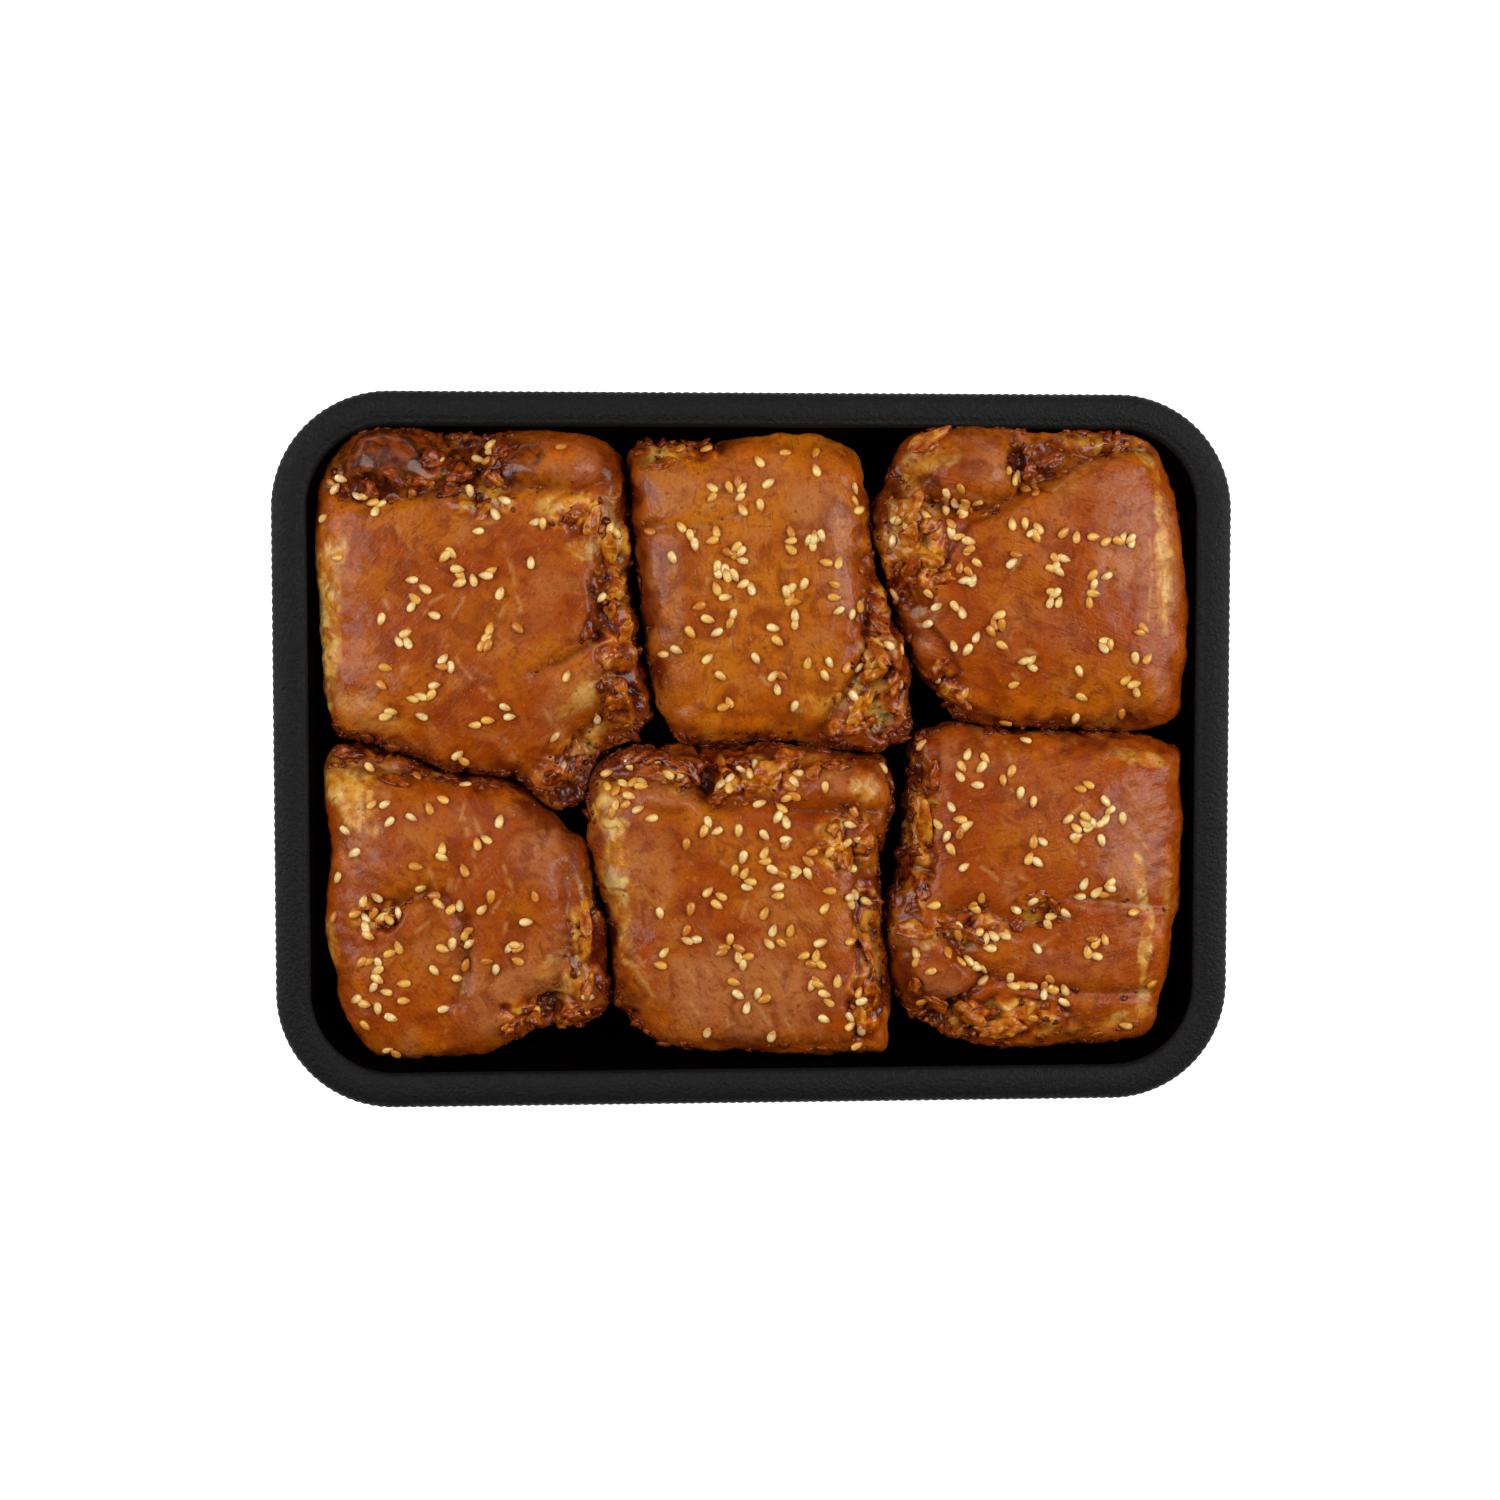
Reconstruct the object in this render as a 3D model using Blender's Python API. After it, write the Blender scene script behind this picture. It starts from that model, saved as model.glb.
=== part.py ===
"""An open foam tray with six folded, marinated chicken thighs, strewn with sesame seeds.

Sizes are in millimetres and turn into metres as each mesh is made. +X runs along the tray, +Y to its
back and +Z up. The origin is the middle of the tray's flat base.
"""

import math
import random

import bmesh
import bpy
import numpy as np
from mathutils import Matrix, Vector, noise
from mathutils.bvhtree import BVHTree

MM = 0.001

TRAY_LENGTH = 222.0
TRAY_WIDTH = 165.0
TRAY_HEIGHT = 28.0
TRAY_CORNER = 27.0
FLOOR_THICKNESS = 4.2
CORNER_STEPS = 6
TIGHTEST_CORNER = 3.0
# The tray's wall in section, as (how far in from the outer edge, how high): up the outside to the lip's
# top, then down the inside to the floor.
WALL_OUTSIDE = [
    (15.6, 0.0), (13.4, 0.9), (12.0, 3.0), (6.2, 21.5), (5.2, 23.4), (3.4, 24.4), (0.8, 24.8),
    (0.0, 25.4), (0.0, 26.4), (0.7, 27.3), (2.6, TRAY_HEIGHT),
]
WALL_INSIDE = [
    (5.2, TRAY_HEIGHT), (6.9, 27.4), (8.0, 25.6), (12.4, 9.0), (14.4, 6.2), (17.4, 4.7),
    (21.8, FLOOR_THICKNESS),
]

GAP = 0.35              # between the meat and the tray
MEAT_GAP = 0.9          # between two thighs that lie against each other
PRESSED, APART = 3.2, 6.0   # thighs nearer than the first are pressed together, past the second are not
THIGH_THICKNESS = 27.0
ROUNDNESS = 3.4         # exponent of the superellipse that a thigh's cross-section follows
UNDERSIDE = 1.12        # how far the rounded shape would reach below the floor that flattens it
GRID_ACROSS = 15        # quads along each side of a thigh's top
GRID_UP = 4
OUTLINE_STEPS = 40      # points of the smooth outline for each point given
FINEST_FOLD = 2.6       # the narrowest crease that this grid can hold
LOBE_TOP, LOBE_FOOT = 0.4, 1.15     # where a lobe's flat top ends and its slope does, as shares of its size
SWELL, SWELL_LENGTH = 0.7, 24.0
CRAG, CRAG_LENGTH = 1.5, 8.0

SEED_LENGTH, SEED_WIDTH, SEED_THICKNESS = 3.2, 2.0, 1.2
SEED_SIDES = 5
SEED_SUNK = 0.12        # how far a seed's middle lies above the meat
SEEDS_KEPT = 23         # seeds on each thigh here
SEED_CLEARANCE = 3.8    # least distance between two of them
STEEPEST_SEED = 0.55    # upward part of the surface's normal, below which no seed lies

# Each thigh's plan and relief. outline: points of its widest edge, anticlockwise from the back left.
# shift: what to add to the places of all that follows, which were measured level with the rim.
# lobes: folded ends that stand proud, as x, y, half length, half width, turn in degrees, rise.
# dips: hollows and low corners, as x, y, radius, depth. folds: creases, as points, depth, width.
# crags: rough, crumbly zones, as x, y, half length, half width. seeds: where sesame lies thickest.
THIGHS = {
    "thigh_back_left": {
        "outline": [
            (-101.1, 58.0), (-100.5, 30.3), (-97.4, 6.1), (-83.7, 1.6), (-70.7, -3.9), (-55.8, -5.5),
            (-48.3, -12.0), (-41.6, -11.8), (-37.0, -1.4), (-27.2, 5.4), (-26.2, 16.1), (-28.8, 36.0),
            (-30.0, 58.0), (-34.7, 70.7), (-48.6, 74.4), (-65.9, 73.0), (-83.0, 75.4), (-93.4, 73.0),
        ],
        "shift": (-0.9, 0.4),
        "lobes": [(-84.0, 67.0, 10.5, 7.5, -8, 2.8), (-46.5, 66.5, 13.0, 7.0, -4, 3.0)],
        "dips": [(-37.0, 0.5, 11.0, 6.0), (-42.5, -10.0, 4.5, 4.5), (-65.5, 69.0, 7.0, 5.0)],
        "folds": [
            ([(-97, 60.5), (-88, 56.5), (-78, 58.0), (-69, 61)], 1.8, 1.8),
            ([(-63, 62), (-57, 59.5), (-50, 60), (-42, 59), (-35, 61)], 1.2, 1.8),
            ([(-34.5, 42), (-35.5, 28), (-41, 23.5), (-50, 17.5)], 0.9, 2.0),
            ([(-35.5, 8), (-42, 1), (-49.5, -4.5)], 1.6, 2.2),
        ],
        "crags": [
            (-65, 66, 9, 9), (-62, 57, 8, 5), (-85, 60, 9, 3.5), (-30, 30, 7, 30), (-40, 54, 7, 5),
            (-40, -5, 11, 8),
        ],
        "seeds": [
            (-94, 62), (-89, 58), (-85, 56), (-95, 44), (-61, 66), (-44, 69), (-65, 59), (-57, 55),
            (-50, 52), (-63, 50), (-68, 43), (-66, 39), (-60, 41), (-51, 43), (-58, 36), (-76, 38),
            (-78, 33), (-85, 30), (-81, 25), (-61, 26), (-54, 28), (-84, 19), (-71, 20), (-73, 15),
            (-82, 11), (-57, 10), (-63, 7), (-33, 52), (-46, 3), (-68, -1),
        ],
    },
    "thigh_back_middle": {
        "outline": [
            (-28.6, 64.9), (-26.6, 40.7), (-23.6, 19.7), (-19.8, 5.6), (-10.0, 1.4), (3.2, 3.4),
            (19.6, 0.4), (33.1, 1.2), (36.3, 10.9), (33.2, 26.8), (27.0, 43.4), (25.1, 58.1),
            (22.6, 69.8), (6.9, 73.8), (-9.1, 71.7), (-25.5, 71.4),
        ],
        "shift": (-1.6, 0.4),
        "lobes": [(-19.5, 43.0, 9.0, 24.0, 6, 0.8), (15.0, 47.0, 9.0, 20.0, 6, 0.8)],
        "dips": [(-21.0, 69.5, 6.0, 3.0), (33.0, 6.0, 9.0, 4.5)],
        "folds": [
            ([(-27, 50.5), (-17, 51.5), (-10, 51), (-4, 53.5)], 0.8, 1.2),
            ([(26, 44), (26.5, 30), (25, 18), (17, 5)], 1.6, 2.2),
        ],
        "crags": [(31, 19, 6.5, 24), (-17, 70, 13, 4)],
        "seeds": [
            (-16, 69), (-8, 69), (15, 66), (2, 64), (-8, 60), (-2, 60), (0, 55), (-15, 49),
            (-8, 49), (23, 56), (10, 47), (15, 48), (-18, 44), (-4, 44), (-5, 40), (0, 37),
            (18, 43), (-23, 40), (-7, 36), (10, 36), (19, 34), (-11, 32), (10, 30), (-6, 28),
            (5, 27), (-19, 22), (-10, 21), (1, 21), (13, 20), (22, 20), (-7, 17), (6, 16), (-20, 15),
            (-5, 11), (10, 10), (22, 12), (31, 23), (26, 5),
        ],
    },
    "thigh_back_right": {
        "outline": [
            (34.0, 69.8), (30.1, 60.1), (28.4, 50.5), (32.8, 34.8), (38.6, 20.7), (43.9, 11.3),
            (53.9, 6.3), (77.2, 5.2), (97.0, 6.3), (101.0, 14.3), (102.0, 34.2), (100.4, 50.5),
            (97.0, 62.8), (90.5, 73.4), (69.6, 75.1), (50.1, 77.0), (38.8, 74.9),
        ],
        "shift": (-1.5, 0.3),
        "lobes": [(50.0, 64.5, 11.5, 8.5, -10, 3.2), (40.0, 72.0, 7.0, 4.0, 25, 1.8)],
        "dips": [(89.0, 6.0, 4.0, 4.0), (33.5, 64.0, 5.0, 4.0), (66.0, 65.0, 6.0, 2.6)],
        "folds": [
            ([(61, 72), (62.5, 60), (70, 62.5), (77, 66.5), (85, 69.5), (94, 69)], 2.6, 1.8),
            ([(39, 58), (47, 55), (56, 55.5), (62, 59)], 2.2, 1.6),
        ],
        "crags": [(37, 46, 9, 16), (66, 66, 6, 6), (80, 71, 12, 3), (43.5, 12, 8, 6)],
        "seeds": [
            (61, 64), (66, 59), (49, 60), (46, 56), (52, 56), (40, 54), (36, 52), (35, 47), (49, 48),
            (60, 52), (65, 51), (74, 49), (81, 48), (86, 48), (61, 44), (71, 43), (45, 42), (50, 41),
            (80, 38), (70, 35), (41, 36), (47, 33), (42, 29), (56, 30), (52, 26), (48, 23), (58, 24),
            (91, 27), (82, 25), (90, 21), (65, 19), (76, 18), (88, 15), (45, 16), (61, 14), (50, 12),
            (77, 12),
        ],
    },
    "thigh_front_left": {
        "outline": [
            (-100.2, -4.5), (-98.7, -20.7), (-99.8, -39.5), (-97.3, -54.7), (-93.7, -66.0),
            (-86.1, -71.3), (-66.1, -71.1), (-56.4, -67.6), (-48.3, -64.4), (-38.9, -64.0),
            (-34.6, -56.7), (-35.2, -44.8), (-38.3, -32.0), (-41.8, -21.0), (-49.6, -14.7),
            (-57.8, -8.3), (-71.8, -6.6), (-84.4, -1.6), (-95.3, 1.8),
        ],
        "shift": (-1.4, 1.1),
        "lobes": [(-52.0, -29.0, 11.0, 13.0, 25, 0.8), (-83.0, -24.0, 13.0, 10.0, 0, 0.8)],
        "dips": [(-46.0, -60.0, 4.5, 6.0), (-86.0, 0.0, 11.0, 4.0)],
        "folds": [
            ([(-88, -39), (-76, -33.5), (-71.5, -34), (-66.5, -40), (-66, -48), (-68, -59)], 1.8, 1.8),
            ([(-43, -30), (-42, -42), (-45, -55)], 1.2, 2.0),
            ([(-97.5, -4), (-82, -6), (-71, -7)], 2.4, 2.0),
        ],
        "crags": [(-86.5, 1, 14, 4.5), (-37.5, -46, 5, 16), (-47, -62, 12, 5), (-86, -38, 6, 4)],
        "seeds": [
            (-66, -11), (-73, -13), (-78, -16), (-77, -8), (-85, -14), (-93, -18), (-91, -24),
            (-94, -30), (-77, -27), (-66, -29), (-62, -22), (-58, -17), (-71, -24), (-74, -33),
            (-60, -33), (-50, -34), (-88, -35), (-90, -39), (-85, -39), (-81, -39), (-68, -37),
            (-62, -37), (-53, -40), (-65, -43), (-70, -46), (-88, -43), (-83, -47), (-55, -46),
            (-61, -49), (-67, -52), (-74, -51), (-88, -49), (-86, -52), (-80, -54), (-85, -56),
            (-89, -59), (-80, -58), (-84, -61), (-71, -60), (-89, -64),
        ],
    },
    "thigh_front_middle": {
        "outline": [
            (-38.2, -9.5), (-36.9, -25.9), (-33.3, -42.5), (-32.5, -58.5), (-22.3, -68.9),
            (0.0, -71.0), (24.9, -71.9), (31.0, -68.9), (30.3, -53.6), (28.7, -37.1), (29.0, -26.5),
            (31.2, -12.3), (30.0, -3.9), (21.3, -1.7), (6.3, 0.5), (-10.0, -1.4), (-22.2, 0.2),
            (-33.6, -2.3),
        ],
        "shift": (-1.6, 0.7),
        "lobes": [(21.0, -7.5, 9.5, 6.0, 0, 2.0), (-18.5, -11.0, 7.0, 4.0, 0, 1.4)],
        "dips": [(-10.0, -8.0, 3.6, 6.0), (-28.0, -64.0, 8.0, 4.0), (-30.0, -3.0, 7.0, 2.0)],
        "folds": [
            ([(-35, -7), (-25, -6.5), (-13, -10), (-8, -14), (2, -11.5), (12, -14.5), (29, -15)], 2.0, 2.0),
            ([(22, -16.5), (24.5, -30), (25, -46.5), (25.5, -67)], 0.6, 2.0),
        ],
        "crags": [
            (-4, -4.5, 19, 7), (22, -22, 8, 7), (27.5, -39, 4, 13), (27.5, -60, 5, 12), (-31, -64, 5, 5),
        ],
        "seeds": [
            (-32, -6), (-27, -5), (-21, -4), (-17, -6), (-32, -10), (-27, -9), (-31, -15), (-24, -15),
            (-5, -9), (0, -6), (2, -13), (11, -7), (16, -6), (9, -12), (7, -16), (-9, -18), (-15, -22),
            (-3, -19), (3, -20), (-3, -27), (4, -26), (8, -22), (9, -29), (14, -26), (18, -24),
            (23, -21), (6, -33), (-1, -32), (-8, -34), (18, -35), (24, -34), (-17, -37), (3, -38),
            (-14, -43), (6, -43), (-3, -48), (-20, -48), (16, -45), (23, -45), (14, -49), (-3, -56),
            (0, -59), (16, -56), (22, -63), (-10, -66), (5, -66), (25, -59),
        ],
    },
    "thigh_front_right": {
        "outline": [
            (38.4, 1.9), (36.0, -10.5), (34.8, -26.5), (31.8, -40.2), (33.2, -52.6), (38.7, -64.0),
            (54.7, -70.3), (72.8, -70.3), (91.7, -68.5), (97.2, -55.9), (99.9, -40.9), (100.7, -24.7),
            (100.6, -4.8), (97.4, 0.6), (77.2, 3.1), (56.5, 3.9), (44.7, 4.8),
        ],
        "shift": (-1.1, 0.0),
        "lobes": [(43.5, -52.0, 10.5, 7.5, -15, 3.0), (39.0, -43.5, 7.0, 3.5, -10, 1.6)],
        "dips": [(45.0, -65.0, 7.0, 4.5), (66.0, -38.0, 4.5, 1.8)],
        "folds": [
            ([(74, -34.5), (88, -36), (99, -37)], 0.8, 1.2),
            ([(44.5, -38.5), (54, -36.5), (62, -41.5), (72, -39)], 1.6, 1.8),
            ([(53, -52.5), (60, -54), (70, -56), (82, -57), (95, -57)], 1.3, 1.8),
            ([(47, -45.5), (54, -52.5), (48, -59.5)], 2.2, 1.6),
        ],
        "crags": [(37, -18, 6, 22), (57, -63, 20, 6), (66, -37, 6, 4), (50, -42, 8, 4)],
        "seeds": [
            (64, 1), (50, -1), (54, -4), (59, -6), (50, -8), (77, -9), (64, -12), (46, -13),
            (82, -14), (86, -16), (76, -17), (82, -21), (43, -18), (49, -17), (46, -21), (66, -21),
            (65, -26), (49, -27), (83, -31), (78, -33), (43, -36), (52, -35), (61, -37), (66, -35),
            (71, -40), (89, -38), (48, -42), (56, -44), (67, -46), (80, -45), (80, -48), (39, -49),
            (45, -48), (49, -50), (64, -55), (68, -56), (73, -59), (88, -64),
        ],
    },
}


def clear_scene():
    for thing in list(bpy.data.objects):
        bpy.data.objects.remove(thing)


def material(name, colour, roughness):
    made = bpy.data.materials.new(name)
    made.use_nodes = True
    shader = made.node_tree.nodes["Principled BSDF"]
    shader.inputs["Base Color"].default_value = (*colour, 1.0)
    shader.inputs["Roughness"].default_value = roughness
    shader.inputs["Metallic"].default_value = 0.0
    made.diffuse_color = (*colour, 1.0)
    return made


def add_object(name, bm, surface, smooth_below=math.radians(50)):
    """Makes an object of a mesh that is in millimetres."""
    bmesh.ops.scale(bm, vec=(MM, MM, MM), verts=bm.verts)
    bmesh.ops.recalc_face_normals(bm, faces=bm.faces)
    mesh = bpy.data.meshes.new(name)
    bm.to_mesh(mesh)
    bm.free()
    mesh.materials.append(surface)
    mesh.shade_smooth()
    mesh.set_sharp_from_angle(angle=smooth_below)
    made = bpy.data.objects.new(name, mesh)
    bpy.context.scene.collection.objects.link(made)
    return made


def tray_ring(inset):
    """The tray's plan, a rounded rectangle, this far in from its outer edge."""
    half_length, half_width = TRAY_LENGTH / 2 - inset, TRAY_WIDTH / 2 - inset
    radius = max(TRAY_CORNER - inset, TIGHTEST_CORNER)
    points = []
    for quarter, (side_x, side_y) in enumerate([(1, 1), (-1, 1), (-1, -1), (1, -1)]):
        middle_x, middle_y = side_x * (half_length - radius), side_y * (half_width - radius)
        for step in range(CORNER_STEPS + 1):
            angle = (quarter + step / CORNER_STEPS) * math.pi / 2
            points.append((middle_x + radius * math.cos(angle), middle_y + radius * math.sin(angle)))
    return points


def build_tray(surface):
    """One foam shell: rings that follow the wall's section, joined by quads, with a flat base and floor."""
    bm = bmesh.new()
    rings = []
    for inset, height in WALL_OUTSIDE + WALL_INSIDE:
        rings.append([bm.verts.new((x, y, height)) for x, y in tray_ring(inset)])
    for lower, upper in zip(rings, rings[1:]):
        for i in range(len(lower)):
            j = (i + 1) % len(lower)
            bm.faces.new((lower[i], lower[j], upper[j], upper[i]))
    bm.faces.new(rings[0])
    bm.faces.new(rings[-1])
    return add_object("tray", bm, surface)


def keep_in_tray(points):
    """Moves points that lie in the tray's wall straight in, so that meat rests against it."""
    insets, heights = zip(*reversed(WALL_INSIDE[1:]))
    x, y = points[:, 0], points[:, 1]
    wall = np.interp(points[:, 2], heights, insets) + GAP
    core_x = np.abs(x) - (TRAY_LENGTH / 2 - TRAY_CORNER)
    core_y = np.abs(y) - (TRAY_WIDTH / 2 - TRAY_CORNER)
    out_x, out_y = np.maximum(core_x, 0), np.maximum(core_y, 0)
    corner = np.hypot(out_x, out_y)
    depth = TRAY_CORNER - corner - np.minimum(np.maximum(core_x, core_y), 0)
    excess = np.maximum(wall - depth, 0)
    flat_x = np.where(corner > 0, out_x / np.maximum(corner, 1e-9), core_x > core_y)
    flat_y = np.where(corner > 0, out_y / np.maximum(corner, 1e-9), core_x <= core_y)
    points[:, 0] -= np.sign(x) * flat_x * excess
    points[:, 1] -= np.sign(y) * flat_y * excess
    return points


def smooth_outline(corners):
    """A closed Catmull-Rom curve through the outline's points."""
    knots = np.array(corners)
    before, after, later = np.roll(knots, 1, 0), np.roll(knots, -1, 0), np.roll(knots, -2, 0)
    steps = np.arange(OUTLINE_STEPS)[None, :, None] / OUTLINE_STEPS
    a, b, c, d = (k[:, None, :] for k in (before, knots, after, later))
    curve = b + 0.5 * steps * (
        c - a + steps * (2 * a - 5 * b + 4 * c - d + steps * (3 * (b - c) + d - a))
    )
    return curve.reshape(-1, 2)


def press_together(outlines):
    """Moves the edges of neighbouring thighs towards each other, as soft meat fills its tray."""
    pressed = {}
    for name, outline in outlines.items():
        others = np.concatenate([points for other, points in outlines.items() if other != name])
        away = others[None] - outline[:, None]
        distance = np.hypot(away[..., 0], away[..., 1])
        nearest = distance.argmin(1)
        rows = np.arange(len(outline))
        gap = distance[rows, nearest]
        share = 0.5 * (1 - MEAT_GAP / gap) * (1 - smoothstep(PRESSED, APART, gap))
        pressed[name] = outline + away[rows, nearest] * share[:, None]
    return pressed


def cube_grid():
    """Points and quads of a unit cube's surface, cut into a grid."""
    counts = (GRID_ACROSS, GRID_ACROSS, GRID_UP)
    index, quads = {}, []

    def corner(cell):
        return index.setdefault(tuple(cell), len(index))

    for axis in range(3):
        first, second = [a for a in range(3) if a != axis]
        for end in (0, counts[axis]):
            for i in range(counts[first]):
                for j in range(counts[second]):
                    cells = []
                    for step_i, step_j in ((0, 0), (1, 0), (1, 1), (0, 1)):
                        cell = [0, 0, 0]
                        cell[axis], cell[first], cell[second] = end, i + step_i, j + step_j
                        cells.append(corner(cell))
                    quads.append(cells)
    points = np.array(list(index), float) / np.array(counts) * 2 - 1
    return points, quads


def smoothstep(low, high, value):
    share = np.clip((value - low) / (high - low), 0, 1)
    return share * share * (3 - 2 * share)


def in_ellipse(x, y, middle_x, middle_y, half_length, half_width, turn=0.0):
    """0 at an ellipse's middle and 1 at its edge."""
    c, s = math.cos(math.radians(turn)), math.sin(math.radians(turn))
    along, across = (x - middle_x) * c + (y - middle_y) * s, (y - middle_y) * c - (x - middle_x) * s
    return np.hypot(along / half_length, across / half_width)


def from_line(x, y, points):
    """Distance from a line through these points."""
    nearest = np.full(len(x), np.inf)
    for (x0, y0), (x1, y1) in zip(points, points[1:]):
        run_x, run_y = x1 - x0, y1 - y0
        share = np.clip(((x - x0) * run_x + (y - y0) * run_y) / (run_x**2 + run_y**2), 0, 1)
        nearest = np.minimum(nearest, np.hypot(x - x0 - share * run_x, y - y0 - share * run_y))
    return nearest


def noise_at(points, length):
    return np.array([noise.noise(Vector(p) / length) for p in points])


def relief(thigh, x, y):
    """How far the folded ends, hollows and creases lift or lower a thigh's top."""
    x, y = x - thigh["shift"][0], y - thigh["shift"][1]
    height = np.zeros(len(x))
    for middle_x, middle_y, half_length, half_width, turn, rise in thigh["lobes"]:
        inside = in_ellipse(x, y, middle_x, middle_y, half_length, half_width, turn)
        height += rise * (1 - smoothstep(LOBE_TOP, LOBE_FOOT, inside))
    for middle_x, middle_y, radius, depth in thigh["dips"]:
        height -= depth * np.exp(-(in_ellipse(x, y, middle_x, middle_y, radius, radius) ** 2))
    for points, depth, width in thigh["folds"]:
        height -= depth * np.exp(-((from_line(x, y, points) / max(width, FINEST_FOLD)) ** 2))
    return height


def roughness_zone(thigh, x, y):
    """1 where the thigh is crumbly and 0 where its muscle is smooth."""
    x, y = x - thigh["shift"][0], y - thigh["shift"][1]
    zone = np.zeros(len(x))
    for middle_x, middle_y, half_length, half_width in thigh["crags"]:
        inside = in_ellipse(x, y, middle_x, middle_y, half_length, half_width)
        zone = np.maximum(zone, 1 - smoothstep(0.7, 1.15, inside))
    return zone


def thigh_points(thigh, outline, cube):
    """Moves a cube's surface onto a thigh: a rounded block of its outline, flat below, with relief on top."""
    middle = outline.mean(0)
    spokes = outline - middle
    angles, radii = np.arctan2(spokes[:, 1], spokes[:, 0]), np.hypot(spokes[:, 0], spokes[:, 1])
    order = np.argsort(angles)
    unit = cube / np.sum(np.abs(cube) ** ROUNDNESS, axis=1, keepdims=True) ** (1 / ROUNDNESS)
    across = np.sum(np.abs(unit[:, :2]) ** ROUNDNESS, axis=1) ** (1 / ROUNDNESS)
    angle = np.arctan2(unit[:, 1], unit[:, 0])
    reach = across * np.interp(angle, angles[order], radii[order], period=2 * math.pi)
    x, y = middle[0] + reach * np.cos(angle), middle[1] + reach * np.sin(angle)
    floor = FLOOR_THICKNESS + GAP
    half = THIGH_THICKNESS / 2
    z = floor + half + half * unit[:, 2] * np.where(unit[:, 2] < 0, UNDERSIDE, 1.0)
    above = smoothstep(0.1, 0.75, unit[:, 2])
    swell = SWELL * noise_at(np.column_stack([x, y, z]), SWELL_LENGTH)
    z += above * (relief(thigh, x, y) + swell)
    crag = CRAG * (noise_at(np.column_stack([x, y, z]), CRAG_LENGTH) - 0.35)
    crag *= roughness_zone(thigh, x, y)
    z += above * crag
    side = across**4 * smoothstep(-0.9, -0.2, unit[:, 2]) * np.minimum(crag, 0)
    x += side * np.cos(angle)
    y += side * np.sin(angle)
    return keep_in_tray(np.column_stack([x, y, np.maximum(z, floor)]))


def thigh_core(thigh, outline, cube, quads):
    bm = bmesh.new()
    verts = [bm.verts.new(p) for p in thigh_points(thigh, outline, cube)]
    for quad in quads:
        bm.faces.new([verts[i] for i in quad])
    bmesh.ops.recalc_face_normals(bm, faces=bm.faces)
    floor = FLOOR_THICKNESS + GAP
    flat = [f for f in bm.faces if all(v.co.z < floor + 1e-4 for v in f.verts)]
    bmesh.ops.dissolve_faces(bm, faces=flat, use_verts=True)
    return bm


def seed_mesh():
    """One sesame seed: a flattened drop with its point at -X."""
    bm = bmesh.new()
    point = bm.verts.new((-0.5 * SEED_LENGTH, 0, 0))
    crown = bm.verts.new((0.5 * SEED_LENGTH, 0, 0))
    rings = []
    for along, width in ((-0.22, 0.72), (0.2, 1.0)):
        ring = []
        for i in range(SEED_SIDES):
            angle = 2 * math.pi * i / SEED_SIDES
            y, z = width * SEED_WIDTH / 2 * math.cos(angle), width * SEED_THICKNESS / 2 * math.sin(angle)
            ring.append(bm.verts.new((along * SEED_LENGTH, y, z)))
        rings.append(ring)
    for i in range(SEED_SIDES):
        j = (i + 1) % SEED_SIDES
        bm.faces.new((point, rings[0][j], rings[0][i]))
        bm.faces.new((rings[0][i], rings[0][j], rings[1][j], rings[1][i]))
        bm.faces.new((rings[1][i], rings[1][j], crown))
    bmesh.ops.recalc_face_normals(bm, faces=bm.faces)
    mesh = bpy.data.meshes.new("seed")
    bm.to_mesh(mesh)
    bm.free()
    return mesh


def spread_out(spots):
    """Spots in an order in which each is as far as possible from those before it."""
    left, chosen = spots[1:], spots[:1]
    while left:
        farthest = max(left, key=lambda spot: min(math.dist(spot, other) for other in chosen))
        if min(math.dist(farthest, other) for other in chosen) < SEED_CLEARANCE:
            break
        left.remove(farthest)
        chosen.append(farthest)
    return chosen


def seed_places(name, spots, core):
    """Where this thigh's seeds lie on its core, and how each is turned."""
    tree = BVHTree.FromBMesh(core)
    places = []
    for spot in spread_out(spots):
        hit, normal, _, _ = tree.ray_cast(Vector((*spot, 2 * TRAY_HEIGHT)), Vector((0, 0, -1)))
        if hit is None or normal.z < STEEPEST_SEED:
            continue
        angle = random.Random(f"{name} {spot}").uniform(0, 2 * math.pi)
        turn = Matrix.Rotation(angle, 4, "Z")
        lie = Vector((0, 0, 1)).rotation_difference(normal).to_matrix().to_4x4()
        places.append(Matrix.Translation(hit + SEED_SUNK * normal) @ lie @ turn)
    return places[:SEEDS_KEPT]


def build_thigh(name, thigh, outline, cube, quads, seed, surface):
    core = thigh_core(thigh, outline, cube, quads)
    shift_x, shift_y = thigh["shift"]
    places = seed_places(name, [(x + shift_x, y + shift_y) for x, y in thigh["seeds"]], core)
    made = add_object(name, core, surface)
    strewn = bpy.data.collections.new("seeds")
    bpy.context.scene.collection.children.link(strewn)
    for place in places:
        grain = bpy.data.objects.new("grain", seed)
        grain.matrix_world = Matrix.Scale(MM, 4) @ place
        strewn.objects.link(grain)
    union = made.modifiers.new("seeds", "BOOLEAN")
    union.operation = "UNION"
    union.operand_type = "COLLECTION"
    union.collection = strewn
    union.solver = "EXACT"
    bpy.context.view_layer.update()
    joined = bpy.data.meshes.new_from_object(made.evaluated_get(bpy.context.evaluated_depsgraph_get()))
    made.modifiers.remove(union)
    made.data = joined
    for grain in list(strewn.objects):
        bpy.data.objects.remove(grain)
    bpy.data.collections.remove(strewn)
    return made


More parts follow.
